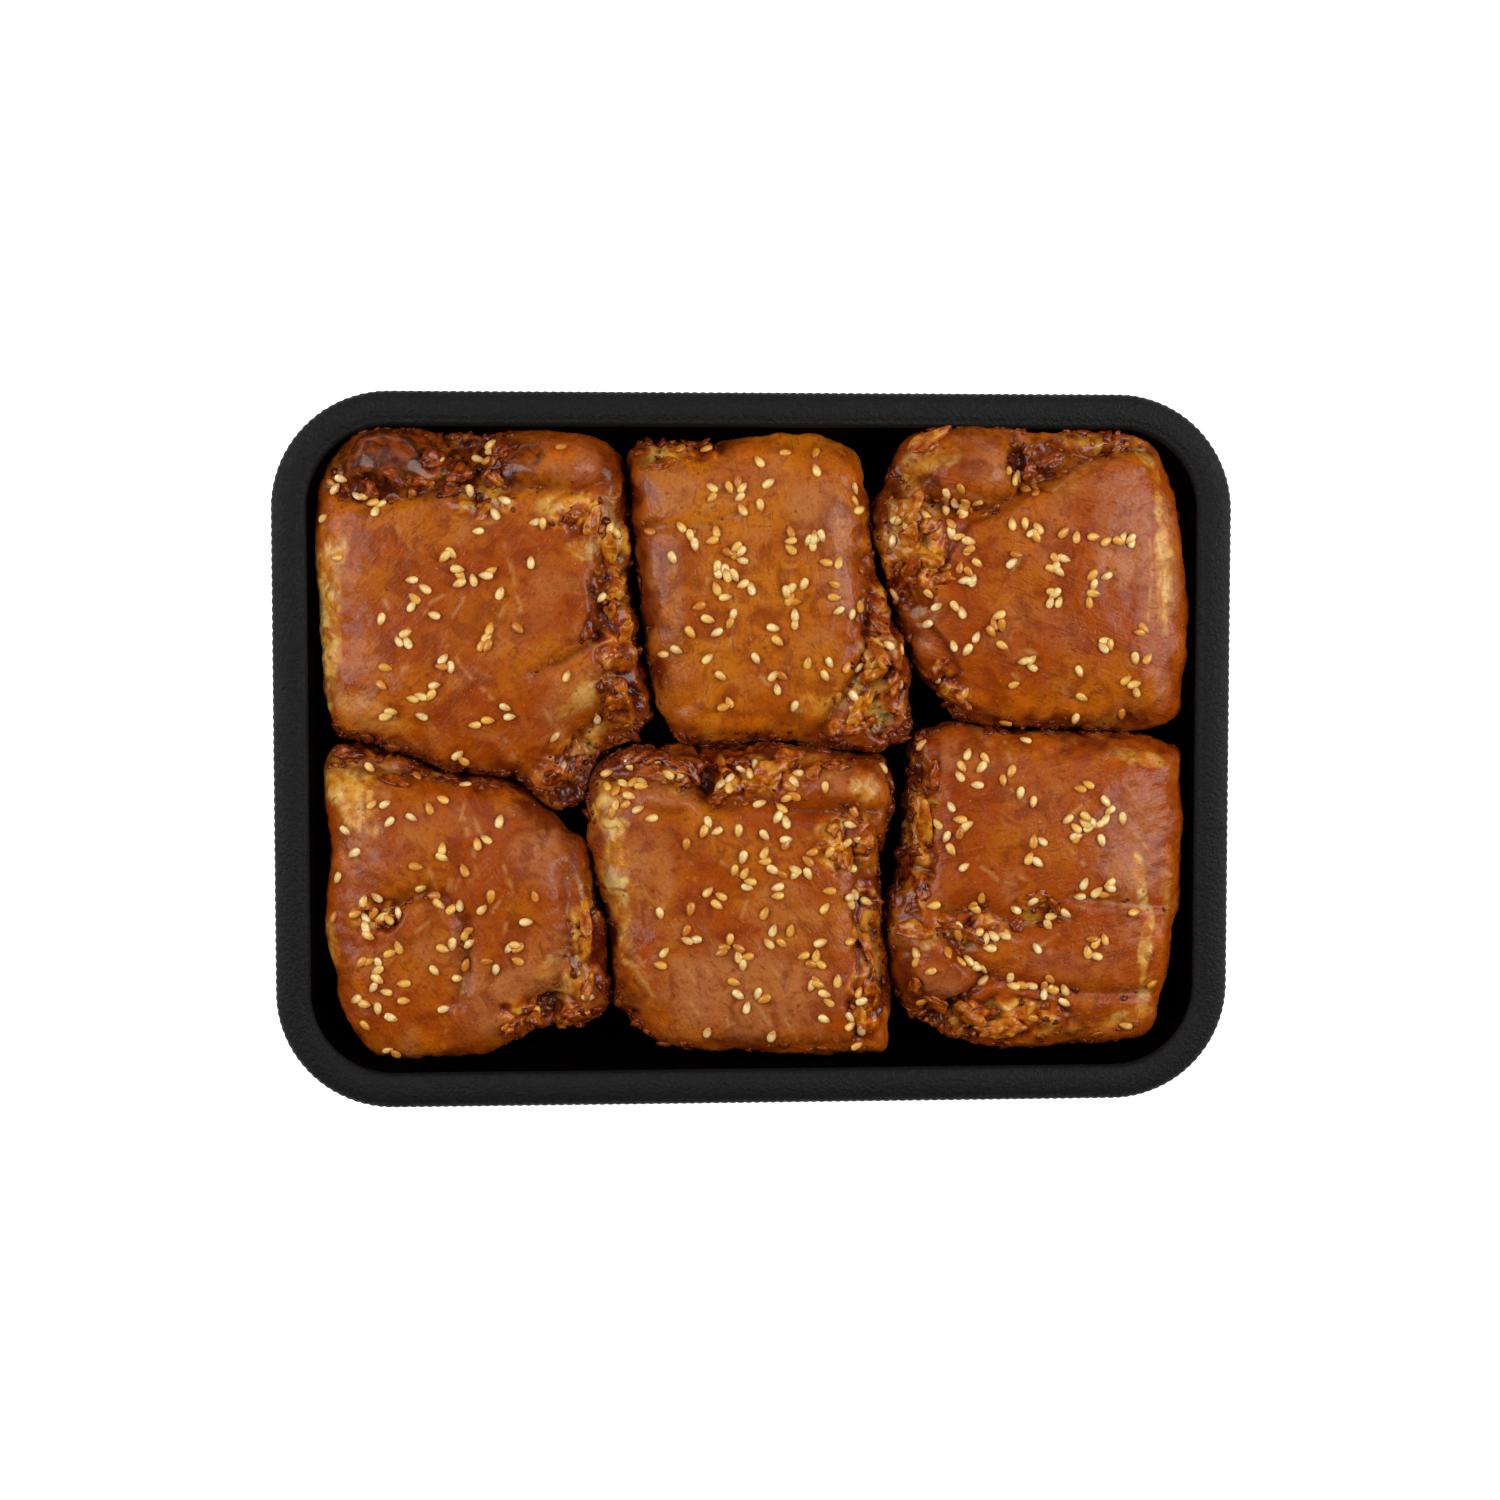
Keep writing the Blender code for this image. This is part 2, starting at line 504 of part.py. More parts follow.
def main():
    clear_scene()
    foam = material("black_foam", (0.02, 0.02, 0.019), 0.7)
    meat = material("marinated_meat", (0.33, 0.09, 0.014), 0.35)
    build_tray(foam)
    cube, quads = cube_grid()
    seed = seed_mesh()
    outlines = press_together({name: smooth_outline(thigh["outline"]) for name, thigh in THIGHS.items()})
    for name, thigh in THIGHS.items():
        build_thigh(name, thigh, outlines[name], cube, quads, seed, meat)


main()
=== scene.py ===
"""The looks of an open foam tray of marinated chicken thighs with sesame seeds.

Lengths are in millimetres until a mesh is made, and then in metres. +X runs along the tray to the
photograph's right, +Y to its top and +Z up; the origin is the middle of the tray's base.
"""

import math
import random

import bmesh
import bpy
import numpy as np
from mathutils import Matrix, Vector, noise
from mathutils.bvhtree import BVHTree


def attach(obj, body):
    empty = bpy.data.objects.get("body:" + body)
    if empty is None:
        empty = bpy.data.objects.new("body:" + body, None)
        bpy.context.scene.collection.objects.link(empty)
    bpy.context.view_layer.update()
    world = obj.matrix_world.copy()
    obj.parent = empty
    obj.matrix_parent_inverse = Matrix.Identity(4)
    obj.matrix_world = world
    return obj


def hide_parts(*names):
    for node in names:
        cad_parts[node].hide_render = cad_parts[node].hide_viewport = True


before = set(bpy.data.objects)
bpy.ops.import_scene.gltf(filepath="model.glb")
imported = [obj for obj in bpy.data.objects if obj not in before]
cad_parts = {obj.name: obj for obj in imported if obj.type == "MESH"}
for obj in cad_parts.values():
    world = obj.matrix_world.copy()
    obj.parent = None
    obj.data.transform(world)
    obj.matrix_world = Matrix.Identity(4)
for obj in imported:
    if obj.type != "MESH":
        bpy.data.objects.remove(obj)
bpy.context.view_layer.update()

MM = 0.001

# The tray, as in its solid: outer size, and the wall's section as (in from the outer edge, height).
TRAY_LENGTH, TRAY_WIDTH, TRAY_HEIGHT = 222.0, 165.0, 28.0
TRAY_CORNER = 27.0
FLOOR_THICKNESS = 4.2
WALL_OUTSIDE = [
    (15.6, 0.0), (13.4, 0.9), (12.0, 3.0), (6.2, 21.5), (5.2, 23.4), (3.4, 24.4), (0.8, 24.8),
    (0.0, 25.4), (0.0, 26.4), (0.7, 27.3), (2.6, TRAY_HEIGHT),
]
WALL_INSIDE = [
    (5.2, TRAY_HEIGHT), (6.9, 27.4), (8.0, 25.6), (12.4, 9.0), (14.4, 6.2), (17.4, 4.7),
    (21.8, FLOOR_THICKNESS),
]
RING_SPACING = 0.48     # distance between points along the tray's edge
SECTION_STEPS = 2       # points for each of the section's own, along a smooth curve
CUT_TOOTH, CUT_DEPTH = 1.9, 0.22    # the lip's serrated, cut edge

# The thighs, as in their solids.
GAP = 0.35              # between the meat and the tray
MEAT_GAP = 0.9          # between two thighs that are pressed together
PRESSED, APART = 3.2, 6.0       # gaps up to the first close, and gaps over the second stay
THIGH_THICKNESS = 27.0
ROUNDNESS = 3.4         # 2 is an ellipsoid, and more is nearer to a box
UNDERSIDE = 1.12        # the lower half's depth to the upper half's
OUTLINE_STEPS = 40      # points for each of an outline's own
SWELL, SWELL_LENGTH = 0.7, 24.0     # height and length of slow bumps
CRAG, CRAG_LENGTH = 1.5, 8.0        # height and length of the torn zones' bumps
LOBE_TOP, LOBE_FOOT = 0.4, 1.15     # where a lobe starts to slope down and where it ends, as shares
BESIDE = (1.6, 8.5)     # gaps to the next thigh where the painted shade and sauce between them are darkest and end
GRID_ACROSS, GRID_UP = 146, 28      # faces along and up a thigh

SEED_LENGTH, SEED_WIDTH, SEED_THICKNESS = 3.2, 1.95, 1.15
SEED_RINGS, SEED_SIDES = 7, 12
SEED_LIFT, SEED_ON_SEED = 0.3, 0.45     # a seed's middle above the meat, and more on another seed
STEEPEST = 0.35         # seeds slide off where the meat's normal points up less than this

CRUMBS_PER_CM2 = 10
CRUMBS_IN_FOLD = 0.25   # for each millimetre of a fold's length and depth
CLOT_DENSITY = 1.7      # times the numbers of CLOTTED
CLOT_SHIFT = (-1.2, 0.4)    # from places measured at the rim to the meat's
CRUMB_SPREAD, CLOT_SPREAD = 0.9, 1.5    # how far they stray from their lines
SUNK = 0.45             # share of a crumb or scrap that is in the meat
MEAT_GLOW = (1.0, 0.28, 0.08)   # how far red, green and blue light spread in meat

# The studio, in metres and watts. Softboxes: name, place, size, power.
SOFTBOXES = [
    ("softbox_left", (-0.66, 0.12, 0.62), (0.45, 0.7), 5.9),
    ("softbox_right", (0.66, 0.12, 0.62), (0.45, 0.7), 6.7),
    ("softbox_top", (0.0, 0.55, 0.95), (0.9, 0.4), 1.4),
]
LIT_PLACE = (0, 0, 0.02)
DIM_ROOM = 0.03         # light from all round; the softboxes give the rest
CAMERA_PLACE = (-0.0422, 0.0352, 0.6256)
CAMERA_AIM = (-0.0017, 0.0002, 0.028)
CAMERA_LENS, CAMERA_SENSOR = 62.3, 36.0
STAGE_HALF, STAGE_DROP = 4000.0, 0.2    # the floor's half length and its place below the tray, in mm

# outline: points of a thigh's widest edge. shift: to add to all other places, measured at the rim.
# lobes: x, y, half length, half width, turn, rise. dips: x, y, radius, depth. folds: points, depth,
# width. crags: x, y, half length, half width. ledges: points of a slab's torn edge, the drop on its
# right and how far that reaches. The fat, dark and sheen tables: pale fat; thick dark sauce, which
# is also painted shade in the holes and hollows it covers; and greyish pale flesh, which is partly a
# painted sheen, the softboxes' reflection; each as x, y, half length, half width, turn, strength.
# scraps: torn bits, as x, y, length, width, turn and how light they are. strands: pale threads of
# membrane, as points. grain: the fibres' direction in degrees. amber: how yellow the muscle is.
# seeds: x, y and how many lie together if more than one.
THIGHS = {
    "thigh_back_left": {
        "outline": [
            (-101.1, 58.0), (-100.5, 30.3), (-97.4, 6.1), (-83.7, 1.6), (-70.7, -3.9), (-55.8, -5.5),
            (-48.3, -12.0), (-41.6, -11.8), (-37.0, -1.4), (-27.2, 5.4), (-26.2, 16.1), (-28.8, 36.0),
            (-30.0, 58.0), (-34.7, 70.7), (-48.6, 74.4), (-65.9, 73.0), (-83.0, 75.4), (-93.4, 73.0),
        ],
        "shift": (-0.9, 0.4),
        "lobes": [(-84.0, 67.0, 10.5, 7.5, -8, 2.8), (-46.5, 66.5, 13.0, 7.0, -4, 3.0)],
        "dips": [(-37.0, 0.5, 11.0, 6.0), (-42.5, -10.0, 4.5, 4.5), (-65.5, 69.0, 7.0, 5.0)],
        "folds": [
            ([(-97, 60.5), (-88, 56.5), (-78, 58.0), (-69, 61)], 1.8, 1.8),
            ([(-63, 62), (-57, 59.5), (-50, 60), (-42, 59), (-35, 61)], 1.2, 1.8),
            ([(-34.5, 42), (-35.5, 28), (-41, 23.5), (-50, 17.5)], 0.9, 2.0),
            ([(-35.5, 8), (-42, 1), (-49.5, -4.5)], 1.6, 2.2),
        ],
        "crags": [
            (-65, 66, 9, 9), (-62, 57, 8, 5), (-85, 60, 9, 3.5), (-30, 30, 7, 30), (-40, 54, 7, 5),
            (-40, -5, 11, 8),
        ],
        "ledges": [
            ([(-50, 18), (-44, 21), (-37.5, 25), (-36, 30), (-35.5, 41), (-38, 50)], 0.9, 5.0),
        ],
        "pale_and_sheens": [
            (-40, 65, 6, 4, 0, 0.6), (-57.5, 65, 4, 3.5, 0, 0.7), (-88, 8, 7, 4, -10, 0.5),
            (-89, 58, 5, 3, 0, 0.4), (-44, 12, 8, 4, 50, 0.45), (-50, 33, 9, 5, 60, 0.25),
        ],
        "grain": 50,
        "amber": 0.38,
        "scraps": [
            (-66, 65, 6, 4, 20, 0.05), (-60, 61, 5, 3, -30, 0.15), (-70, 60, 5, 3, 10, 0.0),
            (-63, 70, 5, 3, 60, 0.15), (-42, 54, 5, 3, 20, 0.5), (-37, 52, 6, 3, 80, 0.75),
            (-33, 44, 8, 3, 95, 0.9), (-29, 37, 5, 4, 60, 0.8), (-33, 31, 5, 3, 100, 0.5),
            (-29, 26, 6, 3, 80, 0.7), (-32, 19, 6, 4, 60, 0.75), (-28, 14, 5, 3, 110, 0.5),
            (-33, 10, 5, 3, 40, 0.4), (-38, 27, 4, 2.4, 90, 0.15), (-36, -4, 6, 3, 60, 0.3),
            (-43, -8, 5, 3, 0, 0.1), (-89, 60, 6, 3, -20, 0.1), (-76, 60, 5, 2.6, 10, 0.1),
            (-82, 63, 7, 3.4, -10, 0.1), (-72, 68, 6, 4, 30, 0.1), (-58, 72, 6, 3, 0, 0.15),
        ],
        "fat": [
            (-97.5, 31, 21, 3.6, 88, 0.85), (-95, 46, 4, 3, 60, 0.7), (-40, -2, 9, 2.4, 52, 0.8),
            (-45, 57, 5, 3, 10, 0.7), (-33, 49, 8, 3, 95, 0.75), (-38.5, 46, 4, 2.6, 0, 0.6),
            (-30, 37, 5, 3, 90, 0.5), (-40, 12, 9, 2.4, 35, 0.45), (-88, 9, 9, 3, -25, 0.3),
        ],
        "dark": [
            (-83, 67, 14, 10, 0, 0.9), (-64, 67, 15, 9, 0, 1.0), (-88, 60, 9, 4, 0, 0.8),
            (-62, 57, 7, 4, 0, 0.5), (-32, 62, 4, 9, 0, 0.45),
            (-42, -10, 5, 3.4, 0, 0.95), (-31, 8, 5, 9, 0, 0.5), (-36, 31, 2.5, 10, 0, 0.5),
        ],
        "strands": [
            [(-57, 47), (-55, 40), (-53.5, 32)], [(-76, 30), (-73.5, 34), (-70, 36)],
            [(-70, 29), (-66.5, 34), (-66, 37)], [(-70, 24), (-65, 17), (-60, 12)],
            [(-83, 16), (-79, 19.5)], [(-85, 36), (-82, 30), (-79, 28)], [(-60, 27), (-57, 33)],
            [(-58, 4), (-54, -4)], [(-48, 9), (-44, 3)], [(-81, 51), (-77, 44), (-71, 40)],
        ],
        "seeds": [
            (-94, 62, 3), (-89, 58, 2), (-85, 56, 3), (-100, 57), (-98, 53), (-95, 44),
            (-61, 66, 4), (-60, 70), (-44, 69), (-46, 73), (-65, 59), (-57, 57),
            (-50, 52, 2), (-59, 54), (-63, 50), (-69, 45, 2), (-67, 40, 3), (-64, 39),
            (-60, 41, 2), (-51, 43), (-58, 36), (-78, 39), (-75, 37), (-78, 33, 2),
            (-73, 31), (-85, 30), (-81, 25, 3), (-61, 26, 4), (-54, 28), (-84, 19),
            (-71, 21, 3), (-73, 15, 3), (-85, 15), (-78, 12), (-83, 9, 2), (-76, 8),
            (-57, 10, 2), (-64, 6), (-61, 7), (-33, 51, 2), (-46, 3), (-68, -1, 2),
            (-35, 35), (-43, 17), (-36, 7), (-72, 66), (-86, 74),
        ],
    },
    "thigh_back_middle": {
        "outline": [
            (-28.6, 64.9), (-26.6, 40.7), (-23.6, 19.7), (-19.8, 5.6), (-10.0, 1.4), (3.2, 3.4),
            (19.6, 0.4), (33.1, 1.2), (36.3, 10.9), (33.2, 26.8), (27.0, 43.4), (25.1, 58.1),
            (22.6, 69.8), (6.9, 73.8), (-9.1, 71.7), (-25.5, 71.4),
        ],
        "shift": (-1.6, 0.4),
        "lobes": [(-19.5, 43.0, 9.0, 24.0, 6, 0.8), (15.0, 47.0, 9.0, 20.0, 6, 0.8)],
        "dips": [(-21.0, 69.5, 6.0, 3.0), (33.0, 6.0, 9.0, 4.5)],
        "folds": [
            ([(-27, 50.5), (-17, 51.5), (-10, 51), (-4, 53.5)], 0.8, 1.2),
            ([(26, 44), (26.5, 30), (25, 18), (17, 5)], 1.6, 2.2),
        ],
        "crags": [(31, 19, 6.5, 24), (-17, 70, 13, 4)],
        "ledges": [([(16, 6), (20, 12), (24, 18), (26.5, 26), (27, 36), (26, 46)], 1.4, 4.5)],
        "pale_and_sheens": [
            (-19, 60, 7, 7, 0, 0.6), (-20, 36, 4.5, 13, 5, 0.8), (16, 55, 8, 8, 0, 0.6),
            (19.5, 39, 5, 8, 0, 0.5), (0, 66, 9, 4, 0, 0.3),
        ],
        "grain": 100,
        "amber": 0.72,
        "scraps": [
            (-21, 69, 7, 3, 15, 0.6), (29, 31, 8, 3, 105, 0.5), (31, 23, 8, 4, 95, 0.7),
            (28, 16, 6, 4, 60, 0.8), (33, 14, 6, 3, 100, 0.4), (28, 8, 8, 4.4, 40, 0.85),
            (22, 5, 7, 4, 10, 0.6), (33, 5, 5, 3, -40, 0.4),
        ],
        "fat": [
            (22, 13, 5, 2.4, 35, 0.7), (14, 10, 5, 2, 0, 0.4), (30, 7, 4, 3, 60, 0.6),
            (29, 19, 7, 3, 100, 0.45), (-19, 68, 5, 2, 20, 0.7),
        ],
        "dark": [(-24, 68, 5, 4, 0, 0.5), (-10, 70.5, 10, 2, 5, 0.45), (30, 3, 8, 2.4, 0, 0.4)],
        "strands": [
            [(-27, 50), (-17, 52), (-10, 51), (-4, 54)], [(-10, 60), (-11, 53)], [(-7, 61), (-10, 54)],
            [(-3, 53), (-4, 47)], [(-9.5, 44), (-10.5, 36)], [(-8, 24), (-10, 21)], [(-4, 30), (-5, 24)],
            [(9, 64), (8, 60)], [(0, 19), (4, 15)], [(19, 55), (23, 44)],
        ],
        "seeds": [
            (-16, 69), (-10, 69), (-5, 70.5), (8, 74), (8, 68), (2, 66),
            (15, 68), (15, 64), (4, 61), (-9, 60, 2), (-5, 60, 2), (-2, 60, 2), (2, 56),
            (-2, 55), (-27, 50), (-23, 50), (-16, 51), (-14, 49), (-13, 47),
            (-8, 50), (-9, 48), (-18, 44), (-4, 45, 5), (-6, 41, 2), (-4, 40, 3), (-2, 38),
            (0, 37), (24, 60), (24, 57), (25, 55), (9, 50), (9, 46, 2), (13, 48, 2),
            (16, 49, 2), (14, 47), (17, 43), (20, 43), (-25, 40), (-8, 37), (-6, 35),
            (9, 37, 3), (12, 38), (10, 34), (19, 38), (19, 35), (20, 32), (25, 33),
            (-12, 33), (-10, 30), (10, 31), (10, 29), (23, 31), (-14, 27),
            (-8, 27), (-5, 29, 2), (5, 28), (6, 25), (-20, 22), (-17, 23), (-10, 21),
            (1, 21), (13, 20), (18, 20), (22, 19), (25, 19), (-7, 17), (5, 17),
            (7, 17), (6, 14), (17, 17), (-22, 15), (-5, 11, 2), (10, 10), (20, 12),
            (24, 12), (24, 9), (32, 24), (35, 23), (35, 15), (25, 5), (27, 6),
        ],
    },
    "thigh_back_right": {
        "outline": [
            (34.0, 69.8), (30.1, 60.1), (28.4, 50.5), (32.8, 34.8), (38.6, 20.7), (43.9, 11.3),
            (53.9, 6.3), (77.2, 5.2), (97.0, 6.3), (101.0, 14.3), (102.0, 34.2), (100.4, 50.5),
            (97.0, 62.8), (90.5, 73.4), (69.6, 75.1), (50.1, 77.0), (38.8, 74.9),
        ],
        "shift": (-1.5, 0.3),
        "lobes": [(50.0, 64.5, 11.5, 8.5, -10, 3.2), (40.0, 72.0, 7.0, 4.0, 25, 1.8)],
        "dips": [(89.0, 6.0, 4.0, 4.0), (33.5, 64.0, 5.0, 4.0), (66.0, 65.0, 6.0, 2.6)],
        "folds": [
            ([(61, 72), (62.5, 60), (70, 62.5), (77, 66.5), (85, 69.5), (94, 69)], 2.6, 1.8),
            ([(39, 58), (47, 55), (56, 55.5), (62, 59)], 2.2, 1.6),
        ],
        "crags": [(37, 46, 9, 16), (66, 66, 6, 6), (80, 71, 12, 3), (43.5, 12, 8, 6)],
        "ledges": [
            ([(58, 54), (51, 52), (46, 45), (43, 38)], 1.2, 4.5),
            ([(36, 36), (41, 30), (46, 24), (49, 18), (47, 14)], 0.9, 5.0),
        ],
        "pale_and_sheens": [
            (86, 50, 7, 15, 0, 0.5), (96, 15, 2.5, 6, 0, 0.6), (55, 65, 6, 5, 0, 0.4),
            (88.5, 9, 4, 3, 0, 0.5), (47, 47, 3.5, 2.5, 0, 0.4), (70, 28, 10, 5, -20, 0.25),
            (98, 43, 2.4, 14, 3, 0.8),
        ],
        "grain": -20,
        "amber": 0.15,
        "scraps": [
            (40, 73, 10, 4, 25, 0.85), (36, 56, 7, 5, 60, 0.95), (35, 49, 6, 4, 80, 0.8),
            (41, 52, 5, 3, 30, 0.65), (40, 45, 7, 4, -20, 0.85), (44, 39, 5, 3, 10, 0.6),
            (36, 41, 5, 3, 70, 0.7), (66, 63, 5, 3.4, 20, 0.1), (69, 67, 6, 3, 30, 0.15),
            (41, 16, 6, 3, 50, 0.3), (46, 10, 6, 3, -20, 0.3),
        ],
        "fat": [
            (95.8, 45, 17, 1.8, 93, 0.8), (91, 69, 5, 1.6, -50, 0.6),
            (41, 66.5, 6, 2.6, 15, 0.7), (37, 62, 2.4, 5, 0, 0.6), (35, 52, 6, 4, 60, 0.6),
            (40, 45, 6, 3, -20, 0.55), (42, 55, 5, 2, 20, 0.5),
        ],
        "dark": [
            (66, 66, 7, 5, 20, 0.85), (76, 70, 13, 4, 5, 0.6), (32, 62, 4, 6, 0, 0.7),
            (53, 74, 9, 2.6, 0, 0.5), (89, 6, 4, 2.4, 0, 0.9), (38, 35, 4, 4, 0, 0.5),
            (41, 61.5, 2.6, 2.2, 0, 0.8), (44, 11, 6, 5, 0, 0.5), (50, 66, 7, 4, -10, 0.3),
            (44, 54, 6, 3, 10, 0.5),
        ],
        "strands": [
            [(38, 26), (44, 22), (47, 18)], [(80, 37), (76, 34), (73, 34)], [(58, 20), (62, 16)],
            [(70, 60), (76, 64), (82, 67)], [(45, 60), (56, 57)], [(62, 23), (68, 22)],
            [(92, 55), (93, 40), (92, 30)], [(63, 46), (60, 41)],
        ],
        "seeds": [
            (46, 75), (58, 74), (63, 73), (59, 64), (62, 63, 2), (64, 60), (66, 59),
            (48, 60), (45, 59), (47, 57, 2), (49, 56, 2), (52, 57, 2), (45, 55), (49, 54),
            (46, 52), (40, 54), (34, 53, 2), (36, 52, 2), (36, 49), (33, 48), (37, 48),
            (48, 49, 2), (50, 48, 2), (50, 46), (60, 52), (63, 52), (66, 51, 3), (72, 50),
            (75, 49), (79, 49), (82, 48), (86, 49, 2), (85, 48), (88, 48), (61, 45),
            (60, 43), (70, 44, 2), (70, 42), (72, 44), (71, 41), (45, 42), (48, 42),
            (50, 41, 2), (52, 43), (49, 39), (51, 39), (79, 38, 2), (79, 36), (82, 40),
            (78, 34), (70, 36), (69, 34, 2), (71, 34), (41, 36), (43, 33), (47, 33, 2),
            (41, 29), (57, 31), (56, 29, 3), (52, 26), (47, 24), (50, 23), (58, 24),
            (91, 28), (90, 27), (82, 25, 3), (89, 21), (92, 21), (65, 19, 3), (76, 18),
            (87, 16), (89, 15, 2), (44, 16), (61, 15), (50, 13), (47, 11), (77, 12),
            (76, 7), (87, 8), (33, 39), (34, 36), (60, 6),
        ],
    },
    "thigh_front_left": {
        "outline": [
            (-100.2, -4.5), (-98.7, -20.7), (-99.8, -39.5), (-97.3, -54.7), (-93.7, -66.0),
            (-86.1, -71.3), (-66.1, -71.1), (-56.4, -67.6), (-48.3, -64.4), (-38.9, -64.0),
            (-34.6, -56.7), (-35.2, -44.8), (-38.3, -32.0), (-41.8, -21.0), (-49.6, -14.7),
            (-57.8, -8.3), (-71.8, -6.6), (-84.4, -1.6), (-95.3, 1.8),
        ],
        "shift": (-1.4, 1.1),
        "lobes": [(-52.0, -29.0, 11.0, 13.0, 25, 0.8), (-83.0, -24.0, 13.0, 10.0, 0, 0.8)],
        "dips": [(-46.0, -60.0, 4.5, 6.0), (-86.0, 0.0, 11.0, 4.0)],
        "folds": [
            ([(-88, -39), (-76, -33.5), (-71.5, -34), (-66.5, -40), (-66, -48), (-68, -59)], 1.8, 1.8),
            ([(-43, -30), (-42, -42), (-45, -55)], 1.2, 2.0),
            ([(-97.5, -4), (-82, -6), (-71, -7)], 2.4, 2.0),
        ],
        "crags": [(-86.5, 1, 14, 4.5), (-37.5, -46, 5, 16), (-47, -62, 12, 5), (-86, -38, 6, 4)],
        "ledges": [([(-66, -60), (-66, -48), (-66, -39), (-71, -34), (-80, -36)], 0.7, 5.0)],
        "pale_and_sheens": [
            (-90.5, -26, 6, 7, 0, 0.5), (-47.5, -25, 8, 8, 0, 0.6), (-55, -58, 12, 9, 20, 0.7),
            (-80, -27, 7, 5, 0, 0.1), (-72, -20, 6, 4, -60, 0.1),
        ],
        "grain": -60,
        "amber": 0.05,
        "scraps": [
            (-90, 1, 7, 3, -10, 0.1), (-82, -1, 6, 3, -20, 0.15), (-54, -66, 5, 3.4, 10, 0.4),
            (-47, -64, 5, 3, -20, 0.2), (-41, -63, 5, 3, 10, 0.4), (-36, -56, 6, 3, 70, 0.6),
            (-38, -48, 10, 2.6, 85, 0.85), (-38, -38, 9, 2.4, 95, 0.8),
        ],
        "fat": [
            (-92, -10, 9, 6, -50, 0.85), (-80, -6, 9, 1.4, -5, 0.7), (-39, -44, 12, 2.2, 88, 0.75),
            (-43, -55, 6, 2.4, 60, 0.5), (-97, -45, 6, 1.6, 90, 0.5), (-46, -50, 6, 3, 45, 0.35),
        ],
        "dark": [
            (-87, 0.5, 13, 3.6, -10, 0.8), (-46, -60, 4.4, 2.8, 0, 0.8), (-66, -43, 2.2, 5, 0, 0.45),
            (-35, -60, 5, 4, 0, 0.5), (-52, -65, 8, 2, 0, 0.5), (-40, -20, 5, 4, -40, 0.45),
        ],
        "strands": [
            [(-66, -13), (-67, -17), (-68, -20)], [(-64, -16), (-62, -20)], [(-66, -16), (-65, -21)],
            [(-69, -30), (-70, -35)], [(-67, -28), (-68, -33)], [(-57, -27), (-55, -33)],
            [(-58, -35), (-61, -40)], [(-56, -37), (-57, -43)], [(-77, -42), (-73, -39)],
            [(-80, -36), (-74, -33)], [(-74, -28), (-72, -32)], [(-64, -23), (-63, -29)],
            [(-71, -66), (-67, -57), (-66, -50)], [(-87, -59), (-82, -57)],
        ],
        "seeds": [
            (-66, -9), (-71, -12), (-74, -14), (-78, -16), (-77, -7), (-87, -13),
            (-84, -13), (-83, -17), (-93, -19), (-91, -24), (-95, -30), (-77, -27),
            (-66, -28), (-63, -22), (-61, -21), (-58, -17), (-71, -23, 2), (-76, -32),
            (-73, -34), (-72, -36), (-60, -34), (-50, -34), (-89, -35), (-86, -34),
            (-91, -38), (-89, -39, 2), (-87, -38), (-85, -39, 2), (-81, -38), (-96, -39),
            (-69, -37), (-67, -36), (-62, -37), (-52, -40), (-65, -42), (-66, -43),
            (-65, -45), (-71, -46), (-69, -45), (-88, -43), (-83, -47, 2), (-56, -46, 2),
            (-54, -46), (-54, -49), (-61, -49), (-66, -50), (-68, -53), (-73, -51),
            (-88, -49, 3), (-86, -51), (-86, -53), (-80, -54), (-87, -55), (-84, -56),
            (-91, -58), (-89, -59), (-80, -58), (-86, -60), (-83, -62), (-71, -60),
            (-89, -64), (-38, -58), (-84, -70, 2), (-50, -62), (-88, -5), (-59, -51),
        ],
    },
    "thigh_front_middle": {
        "outline": [
            (-38.2, -9.5), (-36.9, -25.9), (-33.3, -42.5), (-32.5, -58.5), (-22.3, -68.9),
            (0.0, -71.0), (24.9, -71.9), (31.0, -68.9), (30.3, -53.6), (28.7, -37.1), (29.0, -26.5),
            (31.2, -12.3), (30.0, -3.9), (21.3, -1.7), (6.3, 0.5), (-10.0, -1.4), (-22.2, 0.2),
            (-33.6, -2.3),
        ],
        "shift": (-1.6, 0.7),
        "lobes": [(21.0, -7.5, 9.5, 6.0, 0, 2.0), (-18.5, -11.0, 7.0, 4.0, 0, 1.4)],
        "dips": [(-10.0, -8.0, 3.6, 6.0), (-28.0, -64.0, 8.0, 4.0), (-30.0, -3.0, 7.0, 2.0)],
        "folds": [
            ([(-35, -7), (-25, -6.5), (-13, -10), (-8, -14), (2, -11.5), (12, -14.5), (29, -15)], 2.0, 2.0),
            ([(22, -16.5), (24.5, -30), (25, -46.5), (25.5, -67)], 0.6, 2.0),
        ],
        "crags": [
            (-4, -4.5, 19, 7), (22, -22, 8, 7), (27.5, -39, 4, 13), (27.5, -60, 5, 12), (-31, -64, 5, 5),
        ],
        "ledges": [([(25.5, -67), (24, -56), (25.5, -46.5), (23, -37), (24, -30), (20, -23)], 0.3, 4.0)],
        "pale_and_sheens": [
            (-23, -28, 6, 13, 8, 0.5), (-2, -57, 23, 12, 0, 0.75), (-19, -10.5, 5, 3, 0, 0.6),
            (20, -7, 6, 4, 0, 0.6), (10, -38, 8, 5, -60, 0.25),
        ],
        "grain": -62,
        "amber": 0.2,
        "scraps": [
            (-18, -1, 8, 2.2, -35, 0.1), (-12, -5, 6, 2.2, -55, 0.1), (-20, 2, 5, 3, 20, 0.15),
            (5, -4, 8, 5, 15, 0.85), (0, -7, 6, 4, -10, 0.7), (9, 0, 7, 4, 10, 0.5),
            (-3, 0, 6, 3, -20, 0.15), (14, -3, 5, 3, 60, 0.4), (19, 0, 6, 3, 0, 0.2),
            (-28, 0, 6, 3, 0, 0.1), (19, -19, 6, 3.4, 20, 0.75), (23, -25, 6, 3.4, 70, 0.8),
